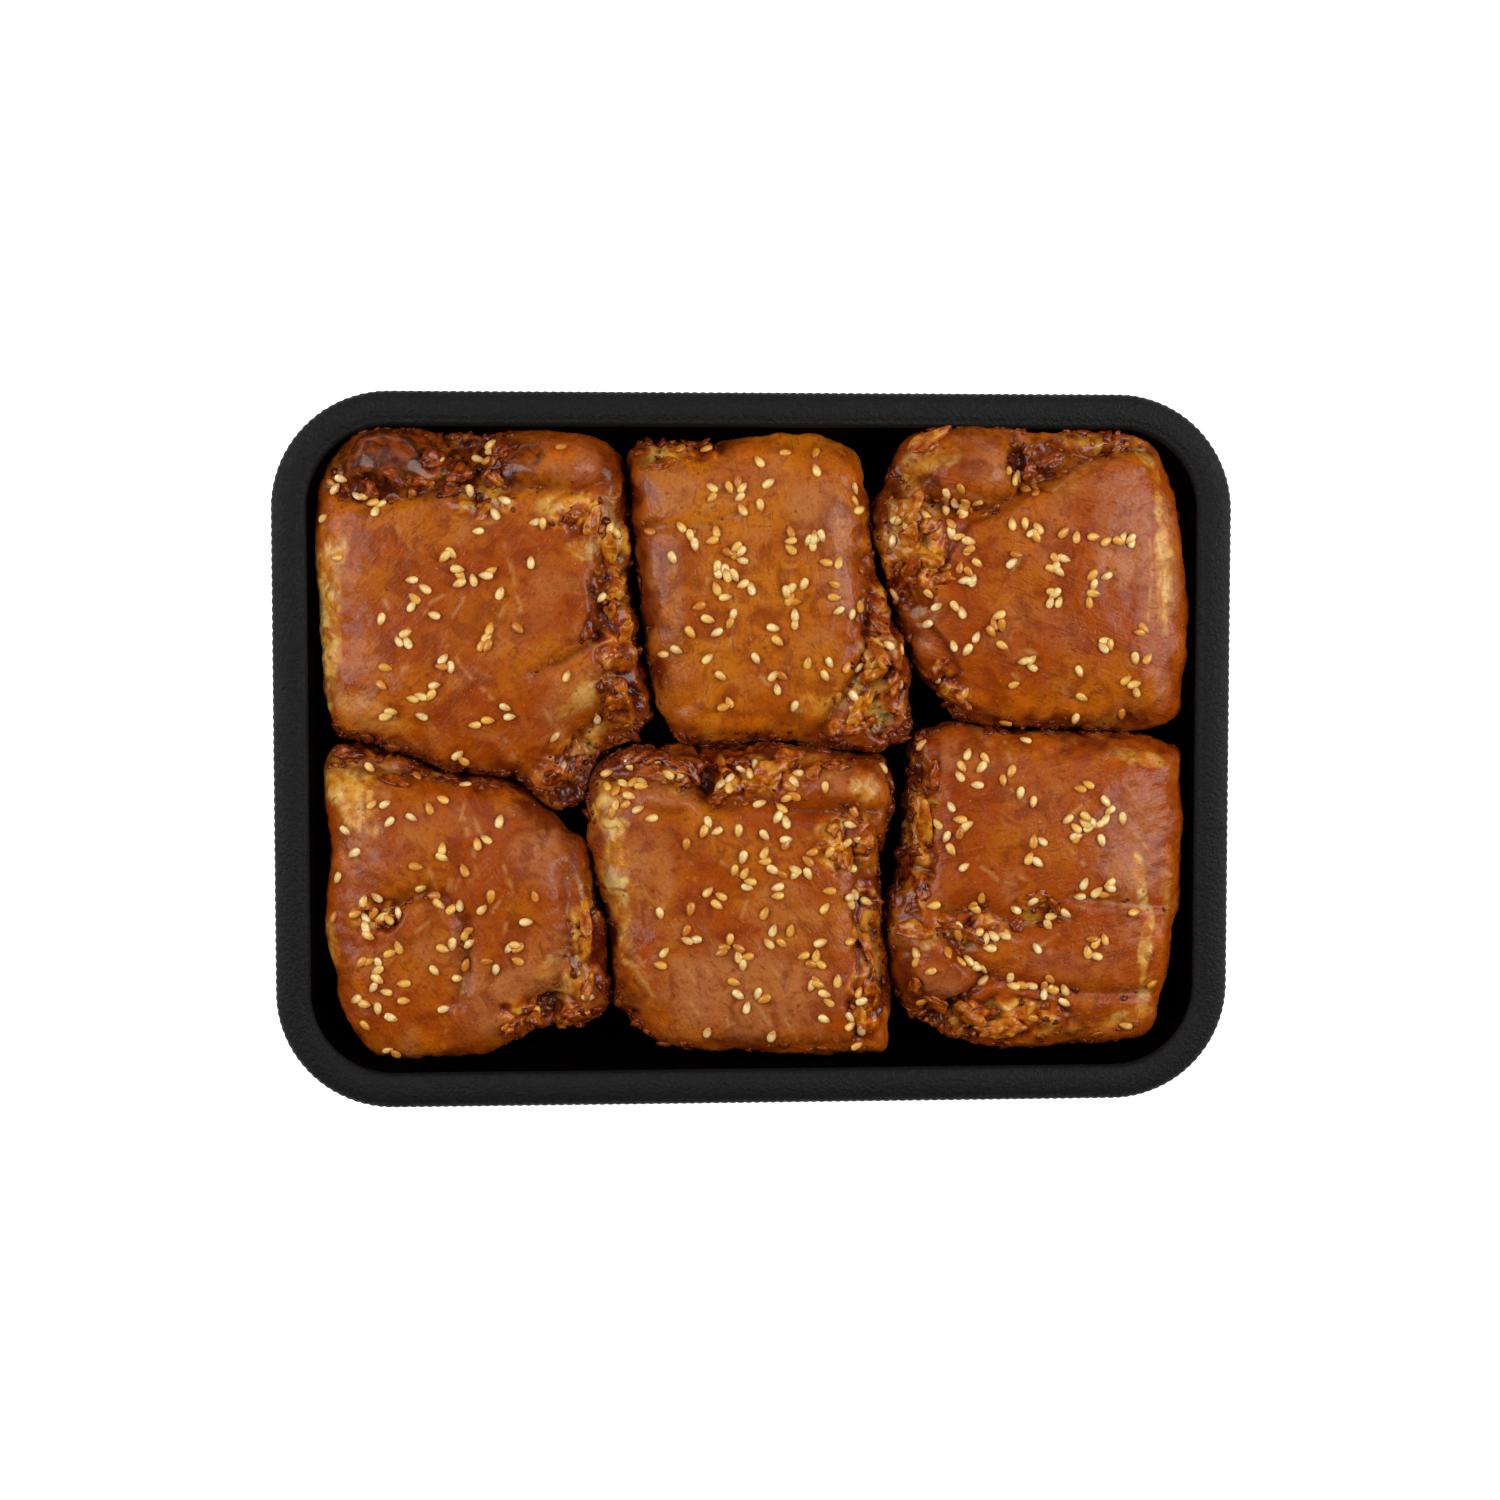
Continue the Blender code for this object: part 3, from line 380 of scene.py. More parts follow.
            (27, -20, 5, 3, 90, 0.6), (28, -44, 9, 2.6, 95, 0.6), (28, -57, 10, 2.6, 85, 0.6),
            (-8, -12, 5, 3, 20, 0.2),
        ],
        "fat": [
            (-33, -14, 10, 4, 100, 0.95), (-31, -28, 12, 3.4, 98, 1.0), (-30, -42, 9, 1.8, 100, 0.8),
            (26, -9, 4, 3, 60, 0.6), (2, -5, 5, 3, 20, 0.6), (18, -19, 4, 2, 20, 0.6),
            (23, -27, 3, 3, 0, 0.5), (28.5, -50, 8, 1.8, 95, 0.6), (-26, -52, 7, 1.2, -60, 0.35),
        ],
        "dark": [
            (-31, -2.5, 7, 4, 0, 0.75), (-10, -8, 2.6, 3.4, 0, 0.98), (-15, -3, 7, 3, -30, 0.5),
            (8, -1.5, 8, 2.6, 0, 0.5), (-32, -63, 4, 4, -40, 0.6), (29, -30, 2.4, 16, 0, 0.45),
            (6, -68.5, 22, 1.4, 0, 0.5),
        ],
        "strands": [
            [(-30, -46), (-26, -52), (-23, -57)], [(-27, -47), (-23, -53)], [(-16, -49), (-13, -54)],
            [(-16, -56), (-12, -62)], [(2, -46), (5, -51), (9, -56)], [(-11, -50), (-9, -53)],
            [(10, -47), (14, -52)], [(-8, -59), (-5, -64)], [(1, -59), (5, -65)], [(8, -63), (11, -68)],
            [(-13, -30), (-10, -33)], [(-7, -26), (-3, -29)], [(-1, -35), (-3, -41)],
            [(-21, -1), (-14, -5), (-9, -7)], [(-19, -34), (-21, -38)], [(23, -13), (25, -5)],
        ],
        "seeds": [
            (-34, -1), (-24, 1), (-22, -3), (-28, -4), (-33, -6), (-16, -4),
            (-16, -6), (-19, -6), (-33, -9), (-31, -10, 2), (-27, -8, 2), (-25, -8),
            (-28, -11), (-29, -13, 2), (-26, -14), (-32, -15), (-23, -16), (-7, -9),
            (-5, -9, 3), (-2, -5), (0, -6, 2), (1, -8), (2, -13), (11, -6), (10, -8),
            (9, -9), (10, -11, 2), (15, -5), (17, -9), (7, -14), (8, -17), (6, -16),
            (-10, -17), (-11, -19), (-8, -19), (-15, -22), (-3, -19), (3, -20),
            (-2, -25), (3, -24), (3, -26), (-4, -28), (8, -21), (8, -22), (5, -28),
            (7, -29), (10, -28), (10, -29), (13, -29), (14, -24), (13, -26),
            (18, -24), (22, -22), (27, -22, 2), (24, -15), (23, -18), (23, -28),
            (6, -32), (6, -34), (-1, -32, 3), (-10, -33), (-7, -34), (-8, -36),
            (18, -33), (17, -37), (24, -34, 2), (23, -36), (27, -36), (-21, -38),
            (-14, -37), (3, -38), (-15, -42), (-13, -44, 2), (5, -42), (9, -42),
            (4, -45), (7, -45), (-5, -44, 2), (-3, -46), (-3, -48), (-1, -48),
            (-2, -50), (-7, -47), (-20, -47), (-21, -50), (16, -45), (23, -45),
            (12, -48), (15, -48), (14, -50), (16, -50), (-4, -54), (-3, -57),
            (-1, -60), (3, -58, 2), (15, -54), (14, -55, 2), (17, -57), (18, -59),
            (20, -54), (25, -57), (26, -59), (17, -63), (23, -63), (23, -65),
            (-10, -66), (5, -67), (26, -66), (25, -70), (31, -5),
        ],
    },
    "thigh_front_right": {
        "outline": [
            (38.4, 1.9), (36.0, -10.5), (34.8, -26.5), (31.8, -40.2), (33.2, -52.6), (38.7, -64.0),
            (54.7, -70.3), (72.8, -70.3), (91.7, -68.5), (97.2, -55.9), (99.9, -40.9), (100.7, -24.7),
            (100.6, -4.8), (97.4, 0.6), (77.2, 3.1), (56.5, 3.9), (44.7, 4.8),
        ],
        "shift": (-1.1, 0.0),
        "lobes": [(43.5, -52.0, 10.5, 7.5, -15, 3.0), (39.0, -43.5, 7.0, 3.5, -10, 1.6)],
        "dips": [(45.0, -65.0, 7.0, 4.5), (66.0, -38.0, 4.5, 1.8)],
        "folds": [
            ([(74, -34.5), (88, -36), (99, -37)], 0.8, 1.2),
            ([(44.5, -38.5), (54, -36.5), (62, -41.5), (72, -39)], 1.6, 1.8),
            ([(53, -52.5), (60, -54), (70, -56), (82, -57), (95, -57)], 1.3, 1.8),
            ([(47, -45.5), (54, -52.5), (48, -59.5)], 2.2, 1.6),
        ],
        "crags": [(37, -18, 6, 22), (57, -63, 20, 6), (66, -37, 6, 4), (50, -42, 8, 4)],
        "ledges": [([(45, 5), (42.5, -6), (41, -14), (42.5, -24), (42, -33)], 0.5, 4.5)],
        "pale_and_sheens": [
            (88.5, -20, 8, 15, 0, 0.7), (45.5, -1, 2.5, 4, 0, 0.5), (43, -53, 6, 4, -20, 0.5),
            (75, -50, 12, 4, 0, 0.3), (66, -14, 8, 5, 20, 0.2),
        ],
        "grain": 15,
        "amber": 0.0,
        "scraps": [
            (38, -20, 12, 3.4, 92, 0.85), (37, -6, 6, 3, 80, 0.1), (38, -31, 6, 3, 90, 0.15),
            (37, -41, 8, 4, -10, 0.8), (45, -40, 6, 3, -15, 0.5), (51, -43, 6, 3, -30, 0.3),
            (62, -40, 4, 2.4, 60, 0.3), (70, -36, 4, 2.4, -50, 0.3), (66, -33.5, 6, 2.2, 5, 0.35),
            (42, -63, 6, 3.4, -40, 0.3), (48, -66, 9, 4.6, -15, 0.65), (57, -66, 10, 4.6, 5, 0.7),
            (54, -62, 7, 3, 10, 0.3), (36, -56, 5, 3, 80, 0.2),
        ],
        "fat": [
            (90.5, -30, 7, 1.4, 100, 0.75), (92, -46, 8, 1.6, 85, 0.8), (92.5, -58, 5, 2, 70, 0.5),
            (91, -2, 6, 2, -10, 0.6), (38.5, -20, 8, 1.6, 92, 0.6), (38, -43, 7, 2.6, -10, 0.65),
            (58, -61, 9, 2.6, 10, 0.3), (88, -63, 7, 2, 20, 0.5), (97, -33, 8, 1.4, 90, 0.35),
            (47, -42, 6, 2, -35, 0.45),
        ],
        "dark": [
            (37, -5, 5, 10, 0, 0.65), (36, -32, 4, 9, 0, 0.45), (45, -65, 8, 4, 0, 0.6),
            (66, -37.5, 4, 2.6, 0, 0.6), (36, -58, 5, 4, 0, 0.8), (72, -65, 12, 2.4, 0, 0.45),
            (84, 0, 9, 2.2, 0, 0.35), (52, -43, 6, 3, 0, 0.35),
        ],
        "strands": [
            [(52, -25), (58, -27), (63, -30)], [(53, -27), (57, -30), (61, -31)],
            [(88, -18), (92, -23)], [(76, -13), (73, -16)], [(78, -12), (76, -16)],
            [(60, -9), (63, -12)], [(74, -34), (88, -36.5), (98, -37)], [(66, -46), (71, -43)],
            [(72, -21), (78, -28)], [(58, -42), (54, -48)], [(59, 2), (60, -3)],
        ],
        "seeds": [
            (38, 3), (40, 1), (64, 2), (50, -1), (54, -2), (53, -4), (60, -5),
            (58, -7), (48, -6, 2), (52, -8), (76, -9), (78, -8), (65, -12), (62, -10),
            (46, -13), (82, -12), (83, -14), (82, -16), (81, -17), (86, -16),
            (73, -16), (75, -18, 2), (77, -17, 2), (79, -17), (78, -18), (75, -20),
            (81, -21), (43, -17), (48, -16, 2), (49, -18, 2), (45, -20), (46, -23),
            (65, -21), (67, -21), (64, -25), (66, -26), (49, -27), (77, -31),
            (80, -33), (76, -34), (83, -31), (83, -32, 2), (42, -36), (53, -34),
            (51, -36), (52, -37), (61, -37), (65, -35), (70, -39), (73, -38),
            (69, -41), (89, -38), (48, -41), (48, -43), (54, -44, 2), (56, -43, 2),
            (59, -43), (55, -46), (66, -46), (79, -44), (80, -45, 2), (78, -47),
            (80, -48), (38, -47), (38, -49), (45, -47), (41, -51), (48, -49),
            (50, -49), (52, -50), (54, -51, 2), (54, -54), (63, -55, 2), (65, -55),
            (68, -55, 2), (68, -57, 2), (70, -56), (73, -56), (73, -59), (66, -63),
            (88, -65), (94, -55), (40, -59), (37, -62), (60, -53),
        ],
    },
}

# Where dark clots fill the gaps and fringe the torn edges: points, how many to the millimetre, their
# lowest and highest place, and how light they are.
CLOTTED = [
    ([(-97, 5), (-90, 3), (-82, 0), (-72, -4), (-62, -6), (-54, -7), (-47, -13), (-41, -14)],
     1.5, 19, 27, 0.4),
    ([(-25, 4), (-24, 15), (-26, 30), (-28, 45), (-28, 60)], 0.8, 18, 26, 0.4),
    ([(-40, -14), (-37, -5), (-33, 0), (-26, 3), (-18, 3)], 1.6, 18, 27, 0.35),
    ([(-15, 2), (-5, 2.5), (8, 2), (20, 0.5), (30, 0)], 1.5, 19, 27, 0.35),
    ([(37, 12), (33, 30), (28, 45), (27, 58)], 0.7, 18, 25, 0.4),
    ([(36, 6), (50, 6), (62, 6), (76, 5), (92, 4)], 1.2, 19, 26, 0.3),
    ([(-32, -62), (-32, -50), (-33, -40), (-36, -25), (-38, -15)], 1.0, 18, 26, 0.4),
    ([(30, -60), (31, -45), (32, -30), (33, -15), (34, -3)], 1.2, 17, 26, 0.4),
    ([(-34, -57), (-29, -64), (-21, -69)], 2.4, 8, 25, 0.6),
    ([(-58, -67), (-50, -64), (-38, -63), (-34, -58)], 2.0, 12, 26, 0.6),
    ([(34, -56), (39, -63), (46, -67), (56, -69), (66, -68)], 2.0, 12, 26, 0.7),
    ([(-97, 62), (-90, 73), (-78, 75), (-66, 73), (-54, 73)], 1.1, 15, 27, 0.4),
    ([(-26, 71), (-18, 73), (-8, 72)], 1.6, 18, 27, 0.5),
    ([(34, 66), (30, 58), (29, 50), (33, 36), (40, 20)], 1.0, 15, 26, 0.5),
    ([(38, 74), (50, 77), (64, 75), (80, 75), (90, 72)], 1.1, 18, 27, 0.5),
    ([(-20, -69), (0, -70), (28, -71)], 0.5, 16, 27, 0.6),
    ([(66, -68), (80, -66), (92, -66)], 0.6, 16, 27, 0.6),
    ([(100, 60), (101, 45), (101, 20)], 0.25, 16, 26, 0.7),
    ([(36, 2), (35, -10), (34, -22), (32, -34)], 1.8, 20, 27, 0.35),
    ([(-27, 3), (-24, 0), (-20, 1)], 3.0, 20, 26, 0.3),
    ([(33, 0), (36, 3), (40, 8)], 3.0, 20, 26, 0.35),
]


# Meshes


def make_piece(name, points, faces, surface, values=None):
    """A smooth mesh object from points in millimetres; values has lists of numbers, one for each point."""
    mesh = bpy.data.meshes.new(name)
    mesh.from_pydata((np.asarray(points) * MM).tolist(), [], faces)
    mesh.validate()
    mesh.shade_smooth()
    for key, numbers in (values or {}).items():
        layer = mesh.attributes.new(key, "FLOAT", "POINT")
        layer.data.foreach_set("value", np.asarray(numbers, np.float32))
    mesh.materials.append(surface)
    made = bpy.data.objects.new(name, mesh)
    bpy.context.scene.collection.objects.link(made)
    return made


def smoothstep(low, high, value):
    share = np.clip((value - low) / (high - low), 0, 1)
    return share * share * (3 - 2 * share)


def noise_at(points, length, basis="PERLIN_ORIGINAL"):
    return np.array([noise.noise(Vector(p) / length, noise_basis=basis) for p in points.tolist()])


def in_ellipse(x, y, middle_x, middle_y, half_length, half_width, turn=0.0):
    """0 at an ellipse's middle and 1 at its edge."""
    c, s = math.cos(math.radians(turn)), math.sin(math.radians(turn))
    along, across = (x - middle_x) * c + (y - middle_y) * s, (y - middle_y) * c - (x - middle_x) * s
    return np.hypot(along / half_length, across / half_width)


def from_stretches(x, y, points):
    """For each stretch of a line: the distance from it, how far along it, and its side, 1 for right."""
    for (x0, y0), (x1, y1) in zip(points, points[1:]):
        run_x, run_y = x1 - x0, y1 - y0
        along = np.clip(((x - x0) * run_x + (y - y0) * run_y) / (run_x**2 + run_y**2), 0, 1)
        gap = np.hypot(x - x0 - along * run_x, y - y0 - along * run_y)
        yield gap, along, np.sign((x - x0) * run_y - (y - y0) * run_x)


def from_line(x, y, points):
    """Distance from a line through these points."""
    nearest = np.full(len(x), np.inf)
    for gap, _, _ in from_stretches(x, y, points):
        nearest = np.minimum(nearest, gap)
    return nearest


def catmull_rom(a, b, c, d, t):
    """The place at share t between b and c, on a smooth curve through a, b, c and d."""
    return b + 0.5 * t * (c - a + t * (2 * a - 5 * b + 4 * c - d + t * (3 * (b - c) + d - a)))


# The tray


def smooth_section(stations):
    """The wall's section with more points, on a smooth curve through its stations."""
    knots = np.array([stations[0], *stations, stations[-1]])
    points = []
    for a, b, c, d in zip(knots, knots[1:], knots[2:], knots[3:]):
        for step in range(SECTION_STEPS):
            points.append(tuple(catmull_rom(a, b, c, d, step / SECTION_STEPS)))
    return points + [stations[-1]]


def tray_ring(inset, height, count):
    """Points round the tray this far in from its outer edge, equally spaced along that edge."""
    half_x, half_y = TRAY_LENGTH / 2 - TRAY_CORNER, TRAY_WIDTH / 2 - TRAY_CORNER
    arc = TRAY_CORNER * math.pi / 2
    sides = [2 * half_y, arc, 2 * half_x, arc] * 2
    s = (np.arange(count) / count) * sum(sides)
    starts = np.cumsum([0] + sides[:-1])
    piece = np.searchsorted(starts, s, side="right") - 1
    local = s - starts[piece]
    quarter = piece // 2
    angle = quarter * math.pi / 2 + np.where(piece % 2 == 1, local / arc * math.pi / 2, 0)
    corner_x = np.where(np.isin(quarter, (0, 3)), half_x, -half_x)
    corner_y = np.where(np.isin(quarter, (0, 1)), half_y, -half_y)
    start_x = np.choose(quarter, [half_x, half_x, -half_x, -half_x])
    start_y = np.choose(quarter, [-half_y, half_y, half_y, -half_y])
    step_x, step_y = -np.sin(quarter * math.pi / 2), np.cos(quarter * math.pi / 2)
    on_side = piece % 2 == 0
    base_x = np.where(on_side, start_x + step_x * local, corner_x)
    base_y = np.where(on_side, start_y + step_y * local, corner_y)
    reach = TRAY_CORNER - inset
    x, y = base_x + reach * np.cos(angle), base_y + reach * np.sin(angle)
    return np.column_stack([x, y, np.full(count, height)])


def build_tray(surface, wet_shaded_surface):
    """The foam shell, with a serrated cut round its lip, and its floor and inner wall near-black with sauce
    and painted shade.
    """
    stations = smooth_section(WALL_OUTSIDE + WALL_INSIDE)
    perimeter = 2 * (TRAY_LENGTH + TRAY_WIDTH) - (8 - 2 * math.pi) * TRAY_CORNER
    count = int(perimeter / RING_SPACING)
    teeth = round(perimeter / CUT_TOOTH)
    tooth = CUT_DEPTH * np.abs(np.sin(np.arange(count) / count * teeth * math.pi))
    rings, wet = [], []
    for place, (inset, height) in enumerate(stations):
        inset, height = max(inset, 0), min(height, TRAY_HEIGHT)
        ring = tray_ring(inset, height, count)
        cut = 1 - smoothstep(0.0, 1.2, inset)
        inward = tray_ring(inset + 1.0, height, count) - ring
        rings.append(ring + cut * (CUT_DEPTH - tooth)[:, None] * inward)
        inside = place > len(WALL_OUTSIDE) * SECTION_STEPS
        wet.append(np.full(count, (1 - smoothstep(17.0, 26.5, height)) if inside else 0.0))
    points = np.concatenate(rings)
    faces = []
    for level in range(len(rings) - 1):
        low, high = level * count, (level + 1) * count
        for i in range(count):
            j = (i + 1) % count
            faces.append((low + i, low + j, high + j, high + i))
    faces.append(tuple(range(count))[::-1])
    faces.append(tuple(range(len(points) - count, len(points))))
    made = make_piece("foam_tray", points, faces, surface, {"wet": np.concatenate(wet)})
    made.data.materials.append(wet_shaded_surface)
    # The wall's inside and the floor take the wet, near-black foam, sauce and painted shade, and not the
    # base, which is the last face but one.
    first_wet = (len(WALL_OUTSIDE) + 2) * SECTION_STEPS * count
    for face in made.data.polygons:
        face.material_index = int(face.index >= first_wet and face.index != len(faces) - 2)
    return made


def wall_inset(height):
    """How far in from the tray's outer edge the wall's inside is at this height."""
    insets, heights = zip(*reversed(WALL_INSIDE[1:]))
    return np.interp(height, heights, insets)


def keep_in_tray(points, gap=GAP):
    """Moves points that are in the tray's wall, or too near it, back inside."""
    x, y = points[:, 0], points[:, 1]
    wall = wall_inset(points[:, 2]) + gap
    core_x = np.abs(x) - (TRAY_LENGTH / 2 - TRAY_CORNER)
    core_y = np.abs(y) - (TRAY_WIDTH / 2 - TRAY_CORNER)
    out_x, out_y = np.maximum(core_x, 0), np.maximum(core_y, 0)
    corner = np.hypot(out_x, out_y)
    depth = TRAY_CORNER - corner - np.minimum(np.maximum(core_x, core_y), 0)
    excess = np.maximum(wall - depth, 0)
    flat_x = np.where(corner > 0, out_x / np.maximum(corner, 1e-9), core_x > core_y)
    flat_y = np.where(corner > 0, out_y / np.maximum(corner, 1e-9), core_x <= core_y)
    points[:, 0] -= np.sign(x) * flat_x * excess
    points[:, 1] -= np.sign(y) * flat_y * excess
    return points


# The thighs


def smooth_outline(corners):
    """A closed smooth curve through the outline's points."""
    steps = np.arange(OUTLINE_STEPS)[None, :, None] / OUTLINE_STEPS
    a, b, c, d = (np.roll(np.array(corners), turn, 0)[:, None, :] for turn in (1, 0, -1, -2))
    return catmull_rom(a, b, c, d, steps).reshape(-1, 2)


def press_together(outlines):
    """Moves the edges of neighbouring thighs towards each other, as soft meat fills its tray."""
    pressed = {}
    for name, outline in outlines.items():
        others = np.concatenate([points for other, points in outlines.items() if other != name])
        away = others[None] - outline[:, None]
        distance = np.hypot(away[..., 0], away[..., 1])
        nearest = distance.argmin(1)
        rows = np.arange(len(outline))
        gap = distance[rows, nearest]
        share = 0.5 * (1 - MEAT_GAP / gap) * (1 - smoothstep(PRESSED, APART, gap))
        pressed[name] = outline + away[rows, nearest] * share[:, None]
    return pressed


def next_to_others(name, outlines, x, y):
    """1 where another thigh lies against this one and 0 more than a few millimetres from any."""
    others = np.concatenate([points[::8] for other, points in outlines.items() if other != name])
    gap = np.full(len(x), np.inf)
    for other_x, other_y in others:
        gap = np.minimum(gap, np.hypot(x - other_x, y - other_y))
    return 1 - smoothstep(*BESIDE, gap)


def cube_grid():
    """Points and quads of a unit cube's surface, cut into a grid, without its underside."""
    counts = (GRID_ACROSS, GRID_ACROSS, GRID_UP)
    index, quads = {}, []

    def corner(cell):
        return index.setdefault(tuple(cell), len(index))

    for axis in range(3):
        first, second = [a for a in range(3) if a != axis]
        for end in (0, counts[axis]):
            if axis == 2 and end == 0:
                continue
            winding = ((0, 0), (1, 0), (1, 1), (0, 1))
            if (end == 0) != (axis == 1):
                winding = winding[::-1]
            for i in range(counts[first]):
                for j in range(counts[second]):
                    cells = []
                    for step_i, step_j in winding:
                        cell = [0, 0, 0]
                        cell[axis], cell[first], cell[second] = end, i + step_i, j + step_j
                        cells.append(corner(cell))
                    quads.append(cells)
    points = np.array(list(index), float) / np.array(counts) * 2 - 1
    return points, quads


def relief(thigh, x, y):
    """How far the folded ends, hollows and creases lift or lower a thigh's top."""
    height = np.zeros(len(x))
    for middle_x, middle_y, half_length, half_width, turn, rise in thigh["lobes"]:
        inside = in_ellipse(x, y, middle_x, middle_y, half_length, half_width, turn)
        height += rise * (1 - smoothstep(LOBE_TOP, LOBE_FOOT, inside))
    for middle_x, middle_y, radius, depth in thigh["dips"]:
        height -= depth * np.exp(-(in_ellipse(x, y, middle_x, middle_y, radius, radius) ** 2))
    for points, depth, width in thigh["folds"]:
        height -= depth * np.exp(-((from_line(x, y, points) / width) ** 2))
    return height


def zone(patches, x, y, wander):
    """1 inside any of these ellipses and 0 outside, with a ragged edge, times each one's strength."""
    found = np.zeros(len(x))
    for middle_x, middle_y, half_length, half_width, *rest in patches:
        turn, strength = rest if rest else (0.0, 1.0)
        inside = in_ellipse(x, y, middle_x, middle_y, half_length, half_width, turn) + wander
        found = np.maximum(found, strength * (1 - smoothstep(0.65, 1.2, inside)))
    return found


def thigh_shape(thigh, outline, cube):
    """A thigh's points as in its solid: also how rough each is, its noise and how near the edge it is."""
    middle = outline.mean(0)
    spokes = outline - middle
    angles, radii = np.arctan2(spokes[:, 1], spokes[:, 0]), np.hypot(spokes[:, 0], spokes[:, 1])
    order = np.argsort(angles)
    unit = cube / np.sum(np.abs(cube) ** ROUNDNESS, axis=1, keepdims=True) ** (1 / ROUNDNESS)
    across = np.sum(np.abs(unit[:, :2]) ** ROUNDNESS, axis=1) ** (1 / ROUNDNESS)
    angle = np.arctan2(unit[:, 1], unit[:, 0])
    reach = across * np.interp(angle, angles[order], radii[order], period=2 * math.pi)
    x, y = middle[0] + reach * np.cos(angle), middle[1] + reach * np.sin(angle)
    floor = FLOOR_THICKNESS + GAP
    half = THIGH_THICKNESS / 2
    z = floor + half + half * unit[:, 2] * np.where(unit[:, 2] < 0, UNDERSIDE, 1.0)
    above = smoothstep(0.1, 0.75, unit[:, 2])
    seen_x, seen_y = x - thigh["shift"][0], y - thigh["shift"][1]
    swell = SWELL * noise_at(np.column_stack([x, y, z]), SWELL_LENGTH)
    z += above * (relief(thigh, seen_x, seen_y) + swell)
    points = np.column_stack([x, y, z])
    wander = 0.28 * noise_at(points, 4.0) + 0.12 * noise_at(points, 1.6)
    rough = zone(thigh["crags"], seen_x, seen_y, wander)
    crag = CRAG * (noise_at(points, CRAG_LENGTH) - 0.35) * rough
    z += above * crag
    side = across**4 * smoothstep(-0.9, -0.2, unit[:, 2]) * np.minimum(crag, 0)
    x += side * np.cos(angle)
    y += side * np.sin(angle)
    points = keep_in_tray(np.column_stack([x, y, np.maximum(z, floor)]))
    return points, rough, wander, across


def vertex_normals(points, quads):
    corners = points[np.array(quads)]
    flat = np.cross(corners[:, 2] - corners[:, 0], corners[:, 3] - corners[:, 1])
    normals = np.zeros_like(points)
    for i in range(4):
        np.add.at(normals, np.array(quads)[:, i], flat)
    return normals / np.maximum(np.linalg.norm(normals, axis=1, keepdims=True), 1e-9)


def pebbles(points, size):
    """Rounded lumps about this wide: 1 at each one's top and 0 in the clefts between them."""
    reach = (noise_at(points, size, "VORONOI_F1") + 1) / 2
    return np.sqrt(np.clip(1 - (reach / 0.72) ** 2, 0, 1))


def torn_flesh(points):
    """The height of lumpy, torn fat and flesh, and how far up from cleft to crown a point is, 0 to 1."""
    drift = np.column_stack([noise_at(points + step, 6.5) for step in (0.0, 40.0, 80.0)])
    bent = points + 3.4 * drift
    big, small = pebbles(bent, 6.0), pebbles(bent + 31.0, 2.8)
    film = 1 - np.abs(noise_at(bent + 7.0, 4.6)) * 2.4
    crown = 0.52 * big + 0.22 * small + 0.26 * np.clip(film, 0, 1)
    return 2.6 * crown - 1.5, smoothstep(0.10, 0.92, crown)


def fine_relief(points, rough, strand, shoulder):
    """Fine relief along the normal, and how far up between cleft and crown each rough point is."""
    flesh, crown = torn_flesh(points)
    soft = 0.34 * noise_at(points, 9.0) + 0.17 * noise_at(points + 11.0, 3.4) + 0.05 * noise_at(points, 1.3)
    soft += shoulder * (0.9 * noise_at(points + 23.0, 7.0) + 0.35 * noise_at(points + 29.0, 2.6))
    return rough * flesh + (1 - rough) * soft + 0.08 * strand, crown


def along_ledges(ledges, x, y):
    """Height lost on the right of each ledge's line, which is a slab's torn edge, and how near it lies."""
    height, near = np.zeros(len(x)), np.zeros(len(x))
    for points, drop, reach in ledges:
        away, side, share = np.full(len(x), np.inf), np.zeros(len(x)), np.zeros(len(x))
        for i, (gap, along, right) in enumerate(from_stretches(x, y, points)):
            closer = gap < away
            away, side = np.where(closer, gap, away), np.where(closer, right, side)
            share = np.where(closer, (i + along) / (len(points) - 1), share)
        signed = away * side
        fade = smoothstep(0.0, 0.16, share) * smoothstep(0.0, 0.16, 1 - share)
        slope = np.exp(-((np.maximum(signed, 0) / reach) ** 2))
        height -= drop * fade * smoothstep(-0.5, 0.7, signed) * slope
        near = np.maximum(near, fade * np.exp(-(((signed - 0.5) / 0.8) ** 2)))
    return height, near


def near_lines(lines, x, y, width):
    """1 on any of these lines, fading to 0 over about this width."""
    found = np.zeros(len(x))
    for line in lines:
        found = np.maximum(found, np.exp(-((from_line(x, y, line) / width) ** 2)))
    return found


def seed_spots(thigh):
    """Places with seeds: x, y and how many lie together, 1 where the table doesn't say."""
    return [(x, y, more[0] if more else 1) for x, y, *more in thigh["seeds"]]


